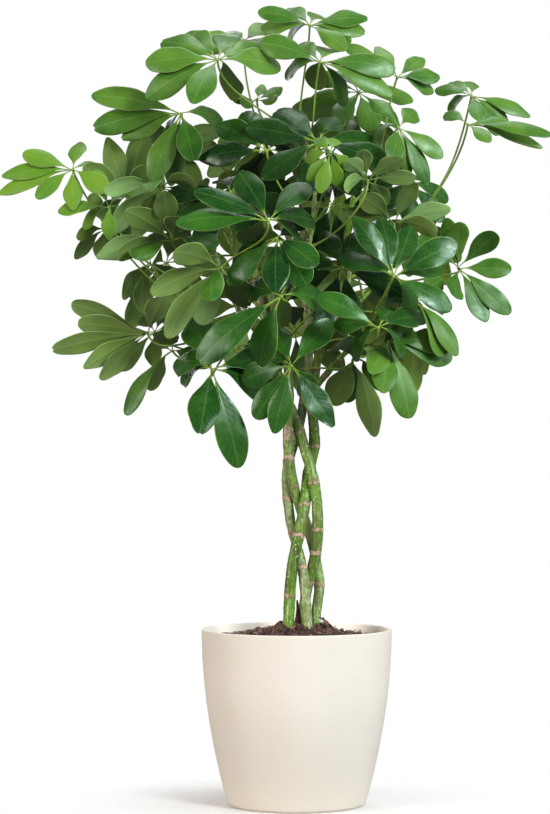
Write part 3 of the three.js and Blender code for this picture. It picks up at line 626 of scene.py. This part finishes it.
# Points of the foot, from its radius, and of the rim, from its outer and its inner edge: how far out and up.
FOOT_RING = [(-6, 0.8), (-4.5, 0), (-1.5, 0), (-0.9, 0.3), (-0.8, 1.3), (0.5, 1.7), (0.9, 2.3)]
RIM_OUTSIDE, RIM_INSIDE = [(0, -0.8), (-0.3, -0.2), (-0.9, 0)], [(0.8, 0), (0.2, -0.3), (0, -1)]
SOIL = {"top": 164, "rise": 14, "spread": 47, "gap": 0.35, "lumps": 1.1, "sides": 260, "rows": 84}
SOIL_EDGE = {"side_top": 158, "height": 160, "within": 5, "falls": 2.2}  # it falls off close to the wall
SOIL_SINK = 1.0  # the clods start this far below the soil's smooth height
CLODS = [(4.8, 260), (3.0, 1100), (1.8, 2600)]  # the usual radius and the number of clods of each kind
CLOD = {"reach": 92, "height": 0.42, "stacked": 0.35}  # its height is in its own radii


def pot_outside(z):
    """The pot's outer radius at a height."""
    share = np.sin(np.pi / 2 * np.clip(z / POT["height"], 0, 1)) ** POT["bulge"]
    return POT["foot"] + (POT["rim"] - POT["foot"]) * share


def pot_inside(z):
    return pot_outside(z) - POT["wall"]


def make_pot(material):
    rim, foot, height, lip, floor = (POT[k] for k in ("rim", "foot", "height", "lip", "floor"))
    side = np.linspace(POT_SIDE["from"], height - POT_SIDE["below_top"], POT_SIDE["rings"])
    wall = np.linspace(height - POT_WALL["below_top"], floor + POT_WALL["above_floor"], POT_WALL["rings"])
    outer = [(foot + out, up) for out, up in FOOT_RING]
    outer += [(pot_outside(z), z) for z in side]
    outer += [(rim + out, height + up) for out, up in RIM_OUTSIDE]
    top, *inner = [(rim - lip + out, height + up) for out, up in RIM_INSIDE]
    outer.append(top)
    inner += [(pot_inside(z), z) for z in wall]
    inner.append((pot_inside(floor) - POT_WALL["corner"], floor))
    rings = [circle(radius, z, POT_SIDES) for radius, z in outer + inner]
    points, faces = closed_rings(rings, FOOT_RING[0][1], floor)
    # The inner wall's points, where the pot's colour carries painted light.
    on_inside = np.repeat([0, 1], [len(outer) * POT_SIDES, len(inner) * POT_SIDES])
    shape = Shape()
    shape.add(points, faces, inside=np.concatenate([on_inside, [0, 1]]))
    shape.piece("planter", material, "pot")


def soil_height(x, y):
    """The height of the soil without its clods."""
    mound = SOIL["rise"] * np.exp(-(x * x + y * y) / SOIL["spread"] ** 2)
    broad = np.sin(x * 0.21 + 1.3) * np.cos(y * 0.19)
    fine = 0.6 * np.sin(x * 0.47 - y * 0.39)
    return SOIL["top"] + mound + SOIL["lumps"] * (broad + fine)


def crumbled(x, y, rng):
    """The height that clods add over the smooth soil."""
    height = np.zeros_like(x)
    for size, count in CLODS:
        radius = CLOD["reach"] * np.sqrt(rng.random(count))
        turn = rng.uniform(0, TURN, count)
        sizes = size * rng.uniform(0.6, 1.3, count)
        for cx, cy, r in zip(radius * np.cos(turn), radius * np.sin(turn), sizes):
            near = (np.abs(x - cx) < r) & (np.abs(y - cy) < r)
            round_top = 1 - ((x[near] - cx) ** 2 + (y[near] - cy) ** 2) / (r * r)
            clod = CLOD["height"] * r * np.sqrt(np.maximum(0, round_top))
            height[near] = np.maximum(height[near], clod + height[near] * CLOD["stacked"])
    return height


def make_soil(material):
    """The filling of the pot, with clods on top."""
    rng = np.random.default_rng(SEEDS["soil"])
    sides = SOIL["sides"]
    heights = np.linspace(POT["floor"] + SOIL["gap"], SOIL_EDGE["side_top"], 8)
    rings = [circle(pot_inside(z) - SOIL["gap"], z, sides) for z in heights]
    edge = pot_inside(SOIL_EDGE["height"]) - SOIL["gap"]
    angles = np.linspace(0, TURN, sides, endpoint=False)
    radii = edge * np.linspace(1, 0.012, SOIL["rows"])
    x, y = np.outer(radii, np.cos(angles)), np.outer(radii, np.sin(angles))
    z = soil_height(x, y) - SOIL_SINK + crumbled(x, y, rng)
    z -= SOIL_EDGE["falls"] * step(edge - SOIL_EDGE["within"], edge, np.hypot(x, y))
    rings += list(np.stack([x, y, z], axis=2))
    points, faces = closed_rings(rings, heights[0], z[-1].mean())
    shape = Shape()
    shape.add(points, faces, tint=0.5)
    shape.piece("potting_soil", material, "soil")


# Bark and crumbs on the soil

STEM_FEET = [(19, 2), (6, 13), (-8, -9), (11, -11)]  # where the stems leave the soil
CHIPS = {"count": 900, "reach": 86, "least": 0.8, "more": 2.4, "clear": 6.5, "lift": 1.2}
FIBRES = {"count": 170, "reach": 84, "lift": 1.8, "length": (4, 11), "bend": 1.2, "radius": (0.3, 0.75)}
HEAPS = [(25, -7, 11, 6), (-16, -6, 9, 5), (2, -12, 7, 3)]  # middle, radius and height of each heap of bark
HEAP_CHIPS = {"count": 80, "clear": 7, "size": (1.2, 2.8)}
# Half the width of each splinter at its foot, and the points that it passes through.
SPLINTERS = [
    (3.0, [[38, -13, 169], [34, -13, 177], [28, -13.5, 184], [21.3, -13, 188]]),
    (2.2, [[37, -14, 169], [32, -14.2, 176.5], [28, -14.5, 181], [24.8, -15, 183]]),
    (1.8, [[34, -12, 169], [30.5, -12, 179], [28, -12, 184.5], [26, -12, 187.5]]),
    (2.4, [[40, -14, 168], [37, -14, 175], [34.5, -14, 178], [32.5, -14.3, 181.5]]),
    (4.6, [[1.4, -4, 166], [1.2, -4.5, 180], [1.6, -4.5, 192], [0.4, -4, 204]]),
]
SPLINTER_FACES = [0.2, -0.95, 0.25]  # the way that the splinters' flat sides face, nearly
SPLINTER_THICK = np.array([0.2, -0.7, 0.1])  # from a splinter's middle to its ridge


def chip(rng, middle, size, flat):
    """A small broken piece of bark or soil: a box with its corners moved, which lies nearly flat."""
    corners = np.array([[x, y, z] for x in (-1, 1) for y in (-1, 1) for z in (-1, 1)], float)
    corners *= rng.uniform(0.65, 1.1, corners.shape)
    corners *= [size, size * rng.uniform(0.45, 0.9), size * flat]
    side, ahead, up = frame_of(unit(rng.normal(size=3) * [0.35, 0.35, 0.1] + [0, 0, 1]))
    turn = rng.uniform(0, TURN)
    c, s = np.cos(turn), np.sin(turn)
    axes = np.array([c * side + s * ahead, c * ahead - s * side, up])
    faces = [[0, 1, 3, 2], [4, 6, 7, 5], [0, 4, 5, 1], [2, 3, 7, 6], [0, 2, 6, 4], [1, 5, 7, 3]]
    return corners @ axes + middle, faces


def on_soil(rng, count, reach):
    """Places on the soil that are clear of the stems' feet."""
    radius, turn = reach * np.sqrt(rng.random(count)), rng.uniform(0, TURN, count)
    x, y = radius * np.cos(turn), radius * np.sin(turn)
    clear = np.all([np.hypot(x - fx, y - fy) > CHIPS["clear"] for fx, fy in STEM_FEET], axis=0)
    return zip(x[clear], y[clear])


def add_chips(shape, rng):
    """Chips and crumbs all over the soil, most of them small."""
    for x, y in on_soil(rng, CHIPS["count"], CHIPS["reach"]):
        size = CHIPS["least"] + CHIPS["more"] * rng.random() ** 2.2
        middle = np.array([x, y, soil_height(x, y) + CHIPS["lift"] + 0.2 * size])
        points, faces = chip(rng, middle, size, rng.uniform(0.3, 0.7))
        shape.add(points, faces, tint=rng.random())


def add_fibres(shape, rng):
    for x, y in on_soil(rng, FIBRES["count"], FIBRES["reach"]):
        way = unit(rng.normal(size=3) * [1, 1, 0.5]) * rng.uniform(*FIBRES["length"])
        bend = rng.normal(size=3) * FIBRES["bend"]
        middle = np.array([x, y, soil_height(x, y) + FIBRES["lift"]])
        t = np.linspace(0, 1, 6)[:, None]
        path = middle + way * (t - 0.5) + bend * (t * (1 - t)) * 4
        points, faces = tube(path, rng.uniform(*FIBRES["radius"]) * (1 - 0.5 * t[:, 0]), 5)
        shape.add(points, faces, tint=rng.random())


def add_heaps(shape, rng):
    for x, y, wide, high in HEAPS:
        for _ in range(HEAP_CHIPS["count"]):
            away, turn = wide * np.sqrt(rng.random()), rng.uniform(0, TURN)
            place = np.array([x + away * np.cos(turn), y + away * np.sin(turn)])
            if min(np.hypot(*(place - foot)) for foot in STEM_FEET) < HEAP_CHIPS["clear"]:
                continue
            lift = high * (1 - away / wide) * rng.uniform(0.3, 1) + 1
            middle = np.array([*place, soil_height(*place) + lift])
            points, faces = chip(rng, middle, rng.uniform(*HEAP_CHIPS["size"]), rng.uniform(0.4, 0.8))
            shape.add(points, faces, tint=0.7 * rng.random())


def add_splinters(shape):
    """Flakes of bark: a split one that leans to the left beside the stems' feet, and one between them."""
    t = np.linspace(0, 1, 11)
    for number, (wide, places) in enumerate(SPLINTERS):
        path = spline(np.linspace(0, 1, len(places)), places, t)
        ahead = np.gradient(path, axis=0)
        half = wide * (1 - 0.85 * t**1.3) + 0.25 * np.sin(np.arange(len(t)) * (2.3 + number))
        points = []
        for k, point in enumerate(path):
            side = unit(np.cross(ahead[k], SPLINTER_FACES)) * half[k]
            points += [point - side, point - SPLINTER_THICK, point + side, point + SPLINTER_THICK]
        shape.add(np.array(points), closed_faces(len(t), 4), tint=0.45)


def make_crumbs(material):
    """Bark chips, crumbs, fibres and splinters that lie on the soil, in one piece."""
    rng = np.random.default_rng(SEEDS["crumbs"])
    shape = Shape()
    add_chips(shape, rng)
    add_fibres(shape, rng)
    add_heaps(shape, rng)
    add_splinters(shape)
    shape.piece("bark_chips", material, smooth=False)


# Materials


def linear(red, green, blue):
    """A colour given as it shows on a screen, from 0 to 255, in linear light."""
    shown = np.array([red, green, blue]) / 255
    light = np.where(shown < 0.04045, shown / 12.92, ((shown + 0.055) / 1.055) ** 2.4)
    return (*[float(c) for c in light], 1.0)


class Painter:
    """Builds a material's nodes. Most of its methods give the socket of their result."""

    def __init__(self, name, **sockets):
        self.material = bpy.data.materials.new(name)
        self.material.use_nodes = True
        self.tree = self.material.node_tree
        self.shader = self.tree.nodes["Principled BSDF"]
        self.fill(self.shader, **sockets)

    def put(self, socket, value):
        if isinstance(value, bpy.types.NodeSocket):
            self.tree.links.new(value, socket)
        else:
            socket.default_value = value

    def node(self, kind, *inputs, **settings):
        made = self.tree.nodes.new("ShaderNode" + kind)
        for key, value in settings.items():
            setattr(made, key, value)
        for socket, value in zip(made.inputs, inputs):
            self.put(socket, value)
        return made

    def fill(self, made, **sockets):
        """Puts each value into the node's input of that name, and gives the node's first output."""
        for key, value in sockets.items():
            self.put(made.inputs[key.replace("_", " ")], value)
        return made.outputs[0]

    def value(self, name):
        return self.node("Attribute", attribute_name=name).outputs["Fac"]

    def places(self, stretch=(1, 1, 1)):
        coordinates = self.node("TexCoord").outputs["Object"]
        return self.node("VectorMath", coordinates, stretch, operation="MULTIPLY").outputs[0]

    def noise(self, scale, detail=3.0, stretch=(1, 1, 1), rough=0.55):
        """Smooth noise from 0 to 1, of about as many waves in a metre as the scale."""
        made = self.node("TexNoise")
        return self.fill(made, Vector=self.places(stretch), Scale=scale, Detail=detail, Roughness=rough)

    def cells(self, scale, stretch=(1, 1, 1)):
        """The distance from scattered points, of which a metre has as many as the scale."""
        return self.fill(self.node("TexVoronoi"), Vector=self.places(stretch), Scale=scale)

    def math(self, operation, *inputs, clamp=False):
        return self.node("Math", *inputs, operation=operation, use_clamp=clamp).outputs[0]

    def plus(self, a, b, clamp=False):
        return self.math("ADD", a, b, clamp=clamp)

    def times(self, a, b):
        return self.math("MULTIPLY", a, b)

    def between(self, value, low, high, to_low=0.0, to_high=1.0):
        """Maps the value's range from low to high smoothly to that from to_low to to_high."""
        made = self.node("MapRange", value, low, high, to_low, to_high, interpolation_type="SMOOTHSTEP")
        return made.outputs[0]

    def mix(self, share, a, b):
        """The colour a, with a share of b."""
        made = self.tree.nodes.new("ShaderNodeMix")
        made.data_type = "RGBA"
        for socket, value in ((0, share), (6, a), (7, b)):
            self.put(made.inputs[socket], value)
        return made.outputs[2]

    def layered(self, colour, *layers):
        """The colour, with a share of each layer's colour over it in turn."""
        for share, paint in layers:
            colour = self.mix(share, colour, paint)
        return colour

    def bump(self, height, distance, strength, **before):
        """The surface's way with bumps, whose height of 1 stands for the distance in millimetres."""
        made = self.node("Bump")
        return self.fill(made, Height=height, Distance=distance * MM, Strength=strength, **before)

    def finish(self, colour, roughness, normal):
        self.fill(self.shader, Base_Color=colour, Roughness=roughness, Normal=normal)
        return self.material


# The colours of each slot's upper side, upper side where fresh and where painted light falls, underside, edge
# and veins, and stalk.
LEAF_COLOURS = {
    "leaf_young": [(64, 114, 22), (98, 138, 34), (140, 168, 78), (158, 182, 92), (116, 142, 74)],
    "leaf_mature": [(30, 84, 12), (86, 126, 42), (102, 130, 72), (148, 184, 102), (114, 140, 60)],
    "leaf_dark": [(6, 50, 10), (50, 102, 26), (96, 126, 62), (132, 174, 92), (122, 152, 52)],
}
LEAF_ROUGHNESS = {"leaf_young": (0.4, 0.54), "leaf_mature": (0.3, 0.42), "leaf_dark": (0.2, 0.34)}
# SHADE is the dark green of the painted shade in the middle of the crown.
PALE_BACK, SHADE = linear(136, 176, 106), linear(7, 27, 2)
LEAF_SCALES = {"patches": 38, "gloss": 140, "specks": 420}
FRESH_AND_LIT = {"tint": 0.56, "outer": 0.28}  # how much a leaflet's own tint and its leaf's place add to it; the place's share is partly painted light
VEINS = {"count": 11, "slant": 2.2, "share": 0.08}
DEEP_SHADE = 0.85  # the share of shade in the colour of the innermost leaflets


def veins(p, along, off):
    """1 on a leaflet's side veins, which run outwards and forwards from its midrib, and 0 between them."""
    place = p.math("SUBTRACT", p.times(along, VEINS["count"]), p.times(off, VEINS["slant"]))
    away = p.math("ABSOLUTE", p.math("SUBTRACT", p.math("FRACT", place), 0.5))
    return p.times(p.between(away, 0.0, 0.1, 1, 0), p.between(off, 0.75, 0.95, 1, 0))


def leaf_material(slot):
    upper, lively, under, edge, stalk = (linear(*c) for c in LEAF_COLOURS[slot])
    p = Painter(f"{slot}_finish", Specular_IOR_Level=0.36, Specular_Tint=(0.8, 1, 0.9, 1))
    along, across, blade, top, tint, outer, deep = (
        p.value(k) for k in ("along", "across", "blade", "top", "tint", "outer", "deep")
    )
    off = p.math("ABSOLUTE", across)
    patches = p.noise(LEAF_SCALES["patches"], 2)
    specks = p.noise(LEAF_SCALES["specks"], 2)
    vein = veins(p, along, off)

    # Partly painted light: the leaf's place lightens the outer leaves, besides the leaflet's own tint and
    # patches.
    fresh_and_lit = p.plus(p.times(tint, FRESH_AND_LIT["tint"]), p.between(patches, 0.35, 0.7, -0.12, 0.28))
    fresh_and_lit = p.plus(fresh_and_lit, p.times(outer, FRESH_AND_LIT["outer"]), clamp=True)
    back = p.mix(p.between(patches, 0.3, 0.7), under, stalk)
    back = p.mix(p.between(tint, 0.8, 0.88, 0, 0.7), back, PALE_BACK)
    midrib = p.times(p.between(off, 0.015, 0.07, 0.15, 0), p.between(top, 0, 1, 2, 1))
    colour = p.layered(
        p.mix(top, back, p.mix(fresh_and_lit, upper, lively)),
        (p.times(vein, VEINS["share"]), edge),
        (midrib, edge),
        (p.between(off, 0.92, 0.99, 0, 0.8), edge),
        (p.between(specks, 0.62, 0.78, 0, 0.12), edge),
        # Painted shade towards the middle of the crown.
        (p.times(deep, DEEP_SHADE), SHADE),
    )
    colour = p.mix(blade, stalk, colour)

    gloss = p.between(p.noise(LEAF_SCALES["gloss"], 2), 0.3, 0.7, *LEAF_ROUGHNESS[slot])
    roughness = p.plus(gloss, p.between(top, 0.2, 0.8, 0.24, 0))
    grain = p.bump(specks, 0.03, 0.25)
    return p.finish(colour, roughness, p.bump(p.times(vein, blade), 0.08, 0.3, Normal=grain))


STEM_COLOURS = {
    "green": (98, 152, 30), "deep": (50, 72, 20), "yellow": (156, 166, 122), "olive": (118, 108, 62),
    "tan": (188, 164, 142), "rosy": (130, 96, 86), "brown": (100, 70, 52), "pale": (214, 218, 182),
}
STEM_SCALES = {
    "blotches": 48, "dotted": 60, "flaking": 85, "olive": 120, "streaks": 170, "ragged": 260, "mottle": 330,
    "dots": 330, "stripes": 420, "worn": 500, "cracks": 700, "grain": 800,
}
ROSY_FROM = (3.9, 4.4)  # the scars' tan turns rosy between these heights, in units of 100 mm
FOOT = (1.8, 2.5)  # the stripes get fainter between these heights
RAGGED = (0.2, 0.8)  # the range of noise that makes the scars' edges ragged


def stem_material():
    scale = STEM_SCALES
    p = Painter("stem_finish", Specular_IOR_Level=0.4)
    green, deep, yellow, olive, tan, rosy, brown, pale = (linear(*c) for c in STEM_COLOURS.values())
    bare, ring, height = p.value("near_scar"), p.value("scar"), p.value("height")
    tan = p.mix(p.between(height, *ROSY_FROM), tan, rosy)
    streaks = p.noise(scale["streaks"], 4, (1, 1, 0.12))
    blotches = p.between(p.noise(scale["blotches"], 3, (1, 1, 0.45)), 0.5, 0.68, 0, 0.5)
    stripes = p.between(p.noise(scale["stripes"], 3, (1, 1, 0.08)), 0.52, 0.66)
    striped = p.plus(p.times(p.between(height, *FOOT, 1, 0), 0.6), 0.2)
    dotted = p.between(p.noise(scale["dotted"]), 0.42, 0.58)
    dots = p.times(p.between(p.cells(scale["dots"], (1, 1, 0.55)), 0.17, 0.27, 1, 0), dotted)
    ragged = p.plus(bare, p.between(p.noise(scale["ragged"], 5), *RAGGED, -0.45, 0.5))
    crack = p.plus(ring, p.between(p.noise(scale["cracks"], 3), *RAGGED, -0.45, 0.45))
    flaking = p.noise(scale["flaking"], 4, (1, 1, 0.3))
    worn = p.times(p.between(flaking, 0.65, 0.69), p.between(p.noise(scale["worn"], 2), 0.35, 0.5))
    colour = p.layered(
        green,
        (p.plus(p.between(streaks, 0.62, 0.3, 0, 0.7), blotches, clamp=True), deep),
        (p.times(p.value("yellow"), p.between(streaks, 0.2, 0.6, 0.6, 1)), yellow),
        (p.times(stripes, striped), pale),
        (p.times(dots, 0.8), pale),
        (p.between(p.noise(scale["mottle"], 3, (1, 1, 0.7)), 0.5, 0.62, 0, 0.45), deep),
        (p.between(ragged, 0.1, 0.5, 0, 0.6), brown),
        (p.between(ragged, 0.5, 0.7, 0, 0.9), tan),
        (p.between(crack, 0.72, 0.95, 0, 0.8), brown),
        (p.between(p.noise(scale["olive"], 4, (1, 1, 0.35)), 0.48, 0.66, 0, 0.36), olive),
        (p.between(flaking, 0.61, 0.66, 0, 0.5), brown),
        (p.times(worn, 0.9), tan),
    )
    roughness = p.plus(p.between(bare, 0.2, 0.8, 0.34, 0.75), p.between(streaks, 0.3, 0.7, 0, 0.12))
    bark = p.bump(p.plus(p.times(streaks, 0.7), p.times(dots, 0.5)), 0.35, 0.7)
    return p.finish(colour, roughness, p.bump(p.noise(scale["grain"], 3), 0.12, 0.4, Normal=bark))


# inside is a lighter cream for the inner wall: painted light that brightens it where it lies in shade.
POT_COLOURS = {
    "cream": (225, 219, 209), "sand": (213, 198, 179), "light": (232, 228, 222), "shaded": (200, 193, 182),
    "inside": (250, 244, 234), "speck": (150, 122, 96),
}
POT_SCALES = {"clouds": 14, "speckled": 120, "specks": 210, "flecks": 1300, "rows": 1500}


def pot_material():
    p = Painter("pot_finish")
    cream, sand, light, shaded, inside, speck = (linear(*c) for c in POT_COLOURS.values())
    flecks = p.noise(POT_SCALES["flecks"], 3, (0.16, 0.16, 1), 0.6)
    height = p.node("SeparateXYZ", p.places()).outputs["Z"]
    speckled = p.between(p.noise(POT_SCALES["speckled"]), 0.6, 0.64)
    specks = p.times(p.between(p.cells(POT_SCALES["specks"]), 0.06, 0.11, 1, 0), speckled)
    colour = p.layered(
        cream,
        (p.between(p.noise(POT_SCALES["clouds"], 3), 0.3, 0.7, 0, 0.5), light),
        (p.between(flecks, 0.5, 0.72, 0, 0.4), sand),
        (p.between(flecks, 0.48, 0.3, 0, 0.3), light),
        (p.between(height, 0, 0.15, 0.95, 0.1), shaded),
        (p.between(height, 0.11, 0.16, 0, 0.25), shaded),
        # Painted light: the inner wall gets the lighter inside colour.
        (p.value("inside"), inside),
        (p.times(specks, 0.55), speck),
    )
    rows = p.noise(POT_SCALES["rows"], 2, (0.05, 0.05, 1))
    grain = p.bump(p.plus(flecks, p.times(rows, 0.6)), 0.12, 0.5)
    return p.finish(colour, p.between(flecks, 0.3, 0.7, 0.52, 0.68), grain)


SOIL_COLOURS = [(32, 21, 22), (82, 58, 56), (136, 110, 106)]  # low, high and bright
BARK_COLOURS = [(44, 28, 26), (100, 72, 64), (164, 134, 116)]
SOIL_SCALES = {"bright": 150, "grains": 520, "fine": 1600}


def soil_material(name, colours):
    p = Painter(name)
    low, high, bright = (linear(*c) for c in colours)
    grains = p.noise(SOIL_SCALES["grains"], 5, rough=0.7)
    colour = p.layered(
        low,
        (p.between(grains, 0.35, 0.65), high),
        (p.between(p.noise(SOIL_SCALES["bright"], 3), 0.55, 0.72, 0, 0.6), bright),
        (p.between(p.value("tint"), 0.55, 1, 0, 0.6), bright),
    )
    grain = p.bump(p.plus(grains, p.noise(SOIL_SCALES["fine"], 3)), 0.8, 0.9)
    return p.finish(colour, p.between(grains, 0.3, 0.7, 0.8, 1.0), grain)


# Studio

FLOOR = {"radii": (1400, 700, 150), "sides": 96, "height": -0.2, "grey": (0.76, 0.76, 0.76, 1)}
FLOOR_FADE = (0.07, 0.24)  # the floor fades out into the white between these distances, in metres
AMBIENT = {"colour": (0.97, 0.985, 1, 1), "strength": 0.22}
WHITE = (1, 1, 1)
# Each light's place and the point that it faces, in metres, its width, its power and its colour.
LIGHTS = {
    "key": ((1.5, -2.2, 1.6), (0, 0, 0.45), 0.85, 76, (0.95, 0.99, 1)),
    "fill": ((-2.4, -1.5, 1.0), (0, 0, 0.3), 1.6, 66, (1, 0.88, 0.77)),
    "side": ((2.3, -0.8, 1.5), (0, 0, 0.5), 1.4, 34, WHITE),
    "front": ((0.2, -2.7, 0.7), (0, 0, 0.3), 1.2, 5, WHITE),
    "back": ((-0.6, 2.6, 1.4), (0, 0, 0.4), 1.8, 24, WHITE),
    "top": ((0.1, 0.5, 2.6), (0, 0, 0.5), 1.4, 20, WHITE),
}
EYE, AIM = (0, -2.7, 0.375), (-0.0216, 0, 0.3966)  # the camera's place and what it faces, in metres
SENSOR = 36  # the height of the picture in the camera
PHOTO_HEIGHT = 814  # the photo's height in pixels, of which each is 1 mm wide at the upright axis


def make_floor():
    """A disc that shows only the shadow round the pot, because it fades out."""
    sides = FLOOR["sides"]
    points = np.vstack([circle(radius, FLOOR["height"], sides) for radius in FLOOR["radii"]])
    rows = len(FLOOR["radii"])
    faces = ring_faces(rows, sides) + [[(rows - 1) * sides + i for i in range(sides)]]
    mesh = bpy.data.meshes.new("floor")
    mesh.from_pydata((points * MM).tolist(), [], faces)
    floor = placed("floor", mesh)
    p = Painter("floor_finish", Roughness=0.9, Base_Color=FLOOR["grey"])
    away = p.node("VectorMath", p.places((1, 1, 0)), operation="LENGTH").outputs["Value"]
    p.put(p.shader.inputs["Alpha"], p.between(away, *FLOOR_FADE, 1, 0))
    mesh.materials.append(p.material)


def turned_to(made, place, target):
    """Puts a light or the camera at its place and turns it to the target."""
    made.location = place
    made.rotation_euler = (Vector(target) - Vector(place)).to_track_quat("-Z", "Y").to_euler()


def make_light(name, place, target, size, power, colour):
    lamp = bpy.data.lights.new(name, "AREA")
    lamp.shape, lamp.size, lamp.energy, lamp.color = "DISK", size, power, colour
    turned_to(placed(name, lamp), place, target)


def make_world():
    """Dim light from all round, and plain white where the camera sees past the plant."""
    world = bpy.data.worlds.new("studio")
    world.use_nodes = True
    bpy.context.scene.world = world
    tree = world.node_tree
    light, seen = tree.nodes["Background"], tree.nodes.new("ShaderNodeBackground")
    light.inputs["Color"].default_value = AMBIENT["colour"]
    light.inputs["Strength"].default_value = AMBIENT["strength"]
    seen.inputs["Color"].default_value = (*WHITE, 1)
    path, either = tree.nodes.new("ShaderNodeLightPath"), tree.nodes.new("ShaderNodeMixShader")
    tree.links.new(path.outputs["Is Camera Ray"], either.inputs[0])
    tree.links.new(light.outputs[0], either.inputs[1])
    tree.links.new(seen.outputs[0], either.inputs[2])
    tree.links.new(either.outputs[0], tree.nodes["World Output"].inputs["Surface"])


def make_camera():
    camera = bpy.data.cameras.new("camera")
    camera.lens = SENSOR * (-EYE[1] / MM) / PHOTO_HEIGHT
    made = placed("camera", camera)
    turned_to(made, EYE, AIM)
    bpy.context.scene.camera = made


leaf_materials = {slot: leaf_material(slot) for slot in LEAF_COLOURS}
blade_faces = leaflet_faces()
for number, node in enumerate(LEAF_NODES):
    make_leaf(node, leaf_materials, number, blade_faces)
stem_finish = stem_material()
for number, node in enumerate(STEM_LOOKS):
    make_stem(node, stem_finish, number)
make_pot(pot_material())
make_soil(soil_material("soil_finish", SOIL_COLOURS))
make_crumbs(soil_material("bark_finish", BARK_COLOURS))
bpy.context.scene.view_settings.view_transform = "Standard"
make_world()
for name, settings in LIGHTS.items():
    make_light(name, *settings)
make_floor()
make_camera()
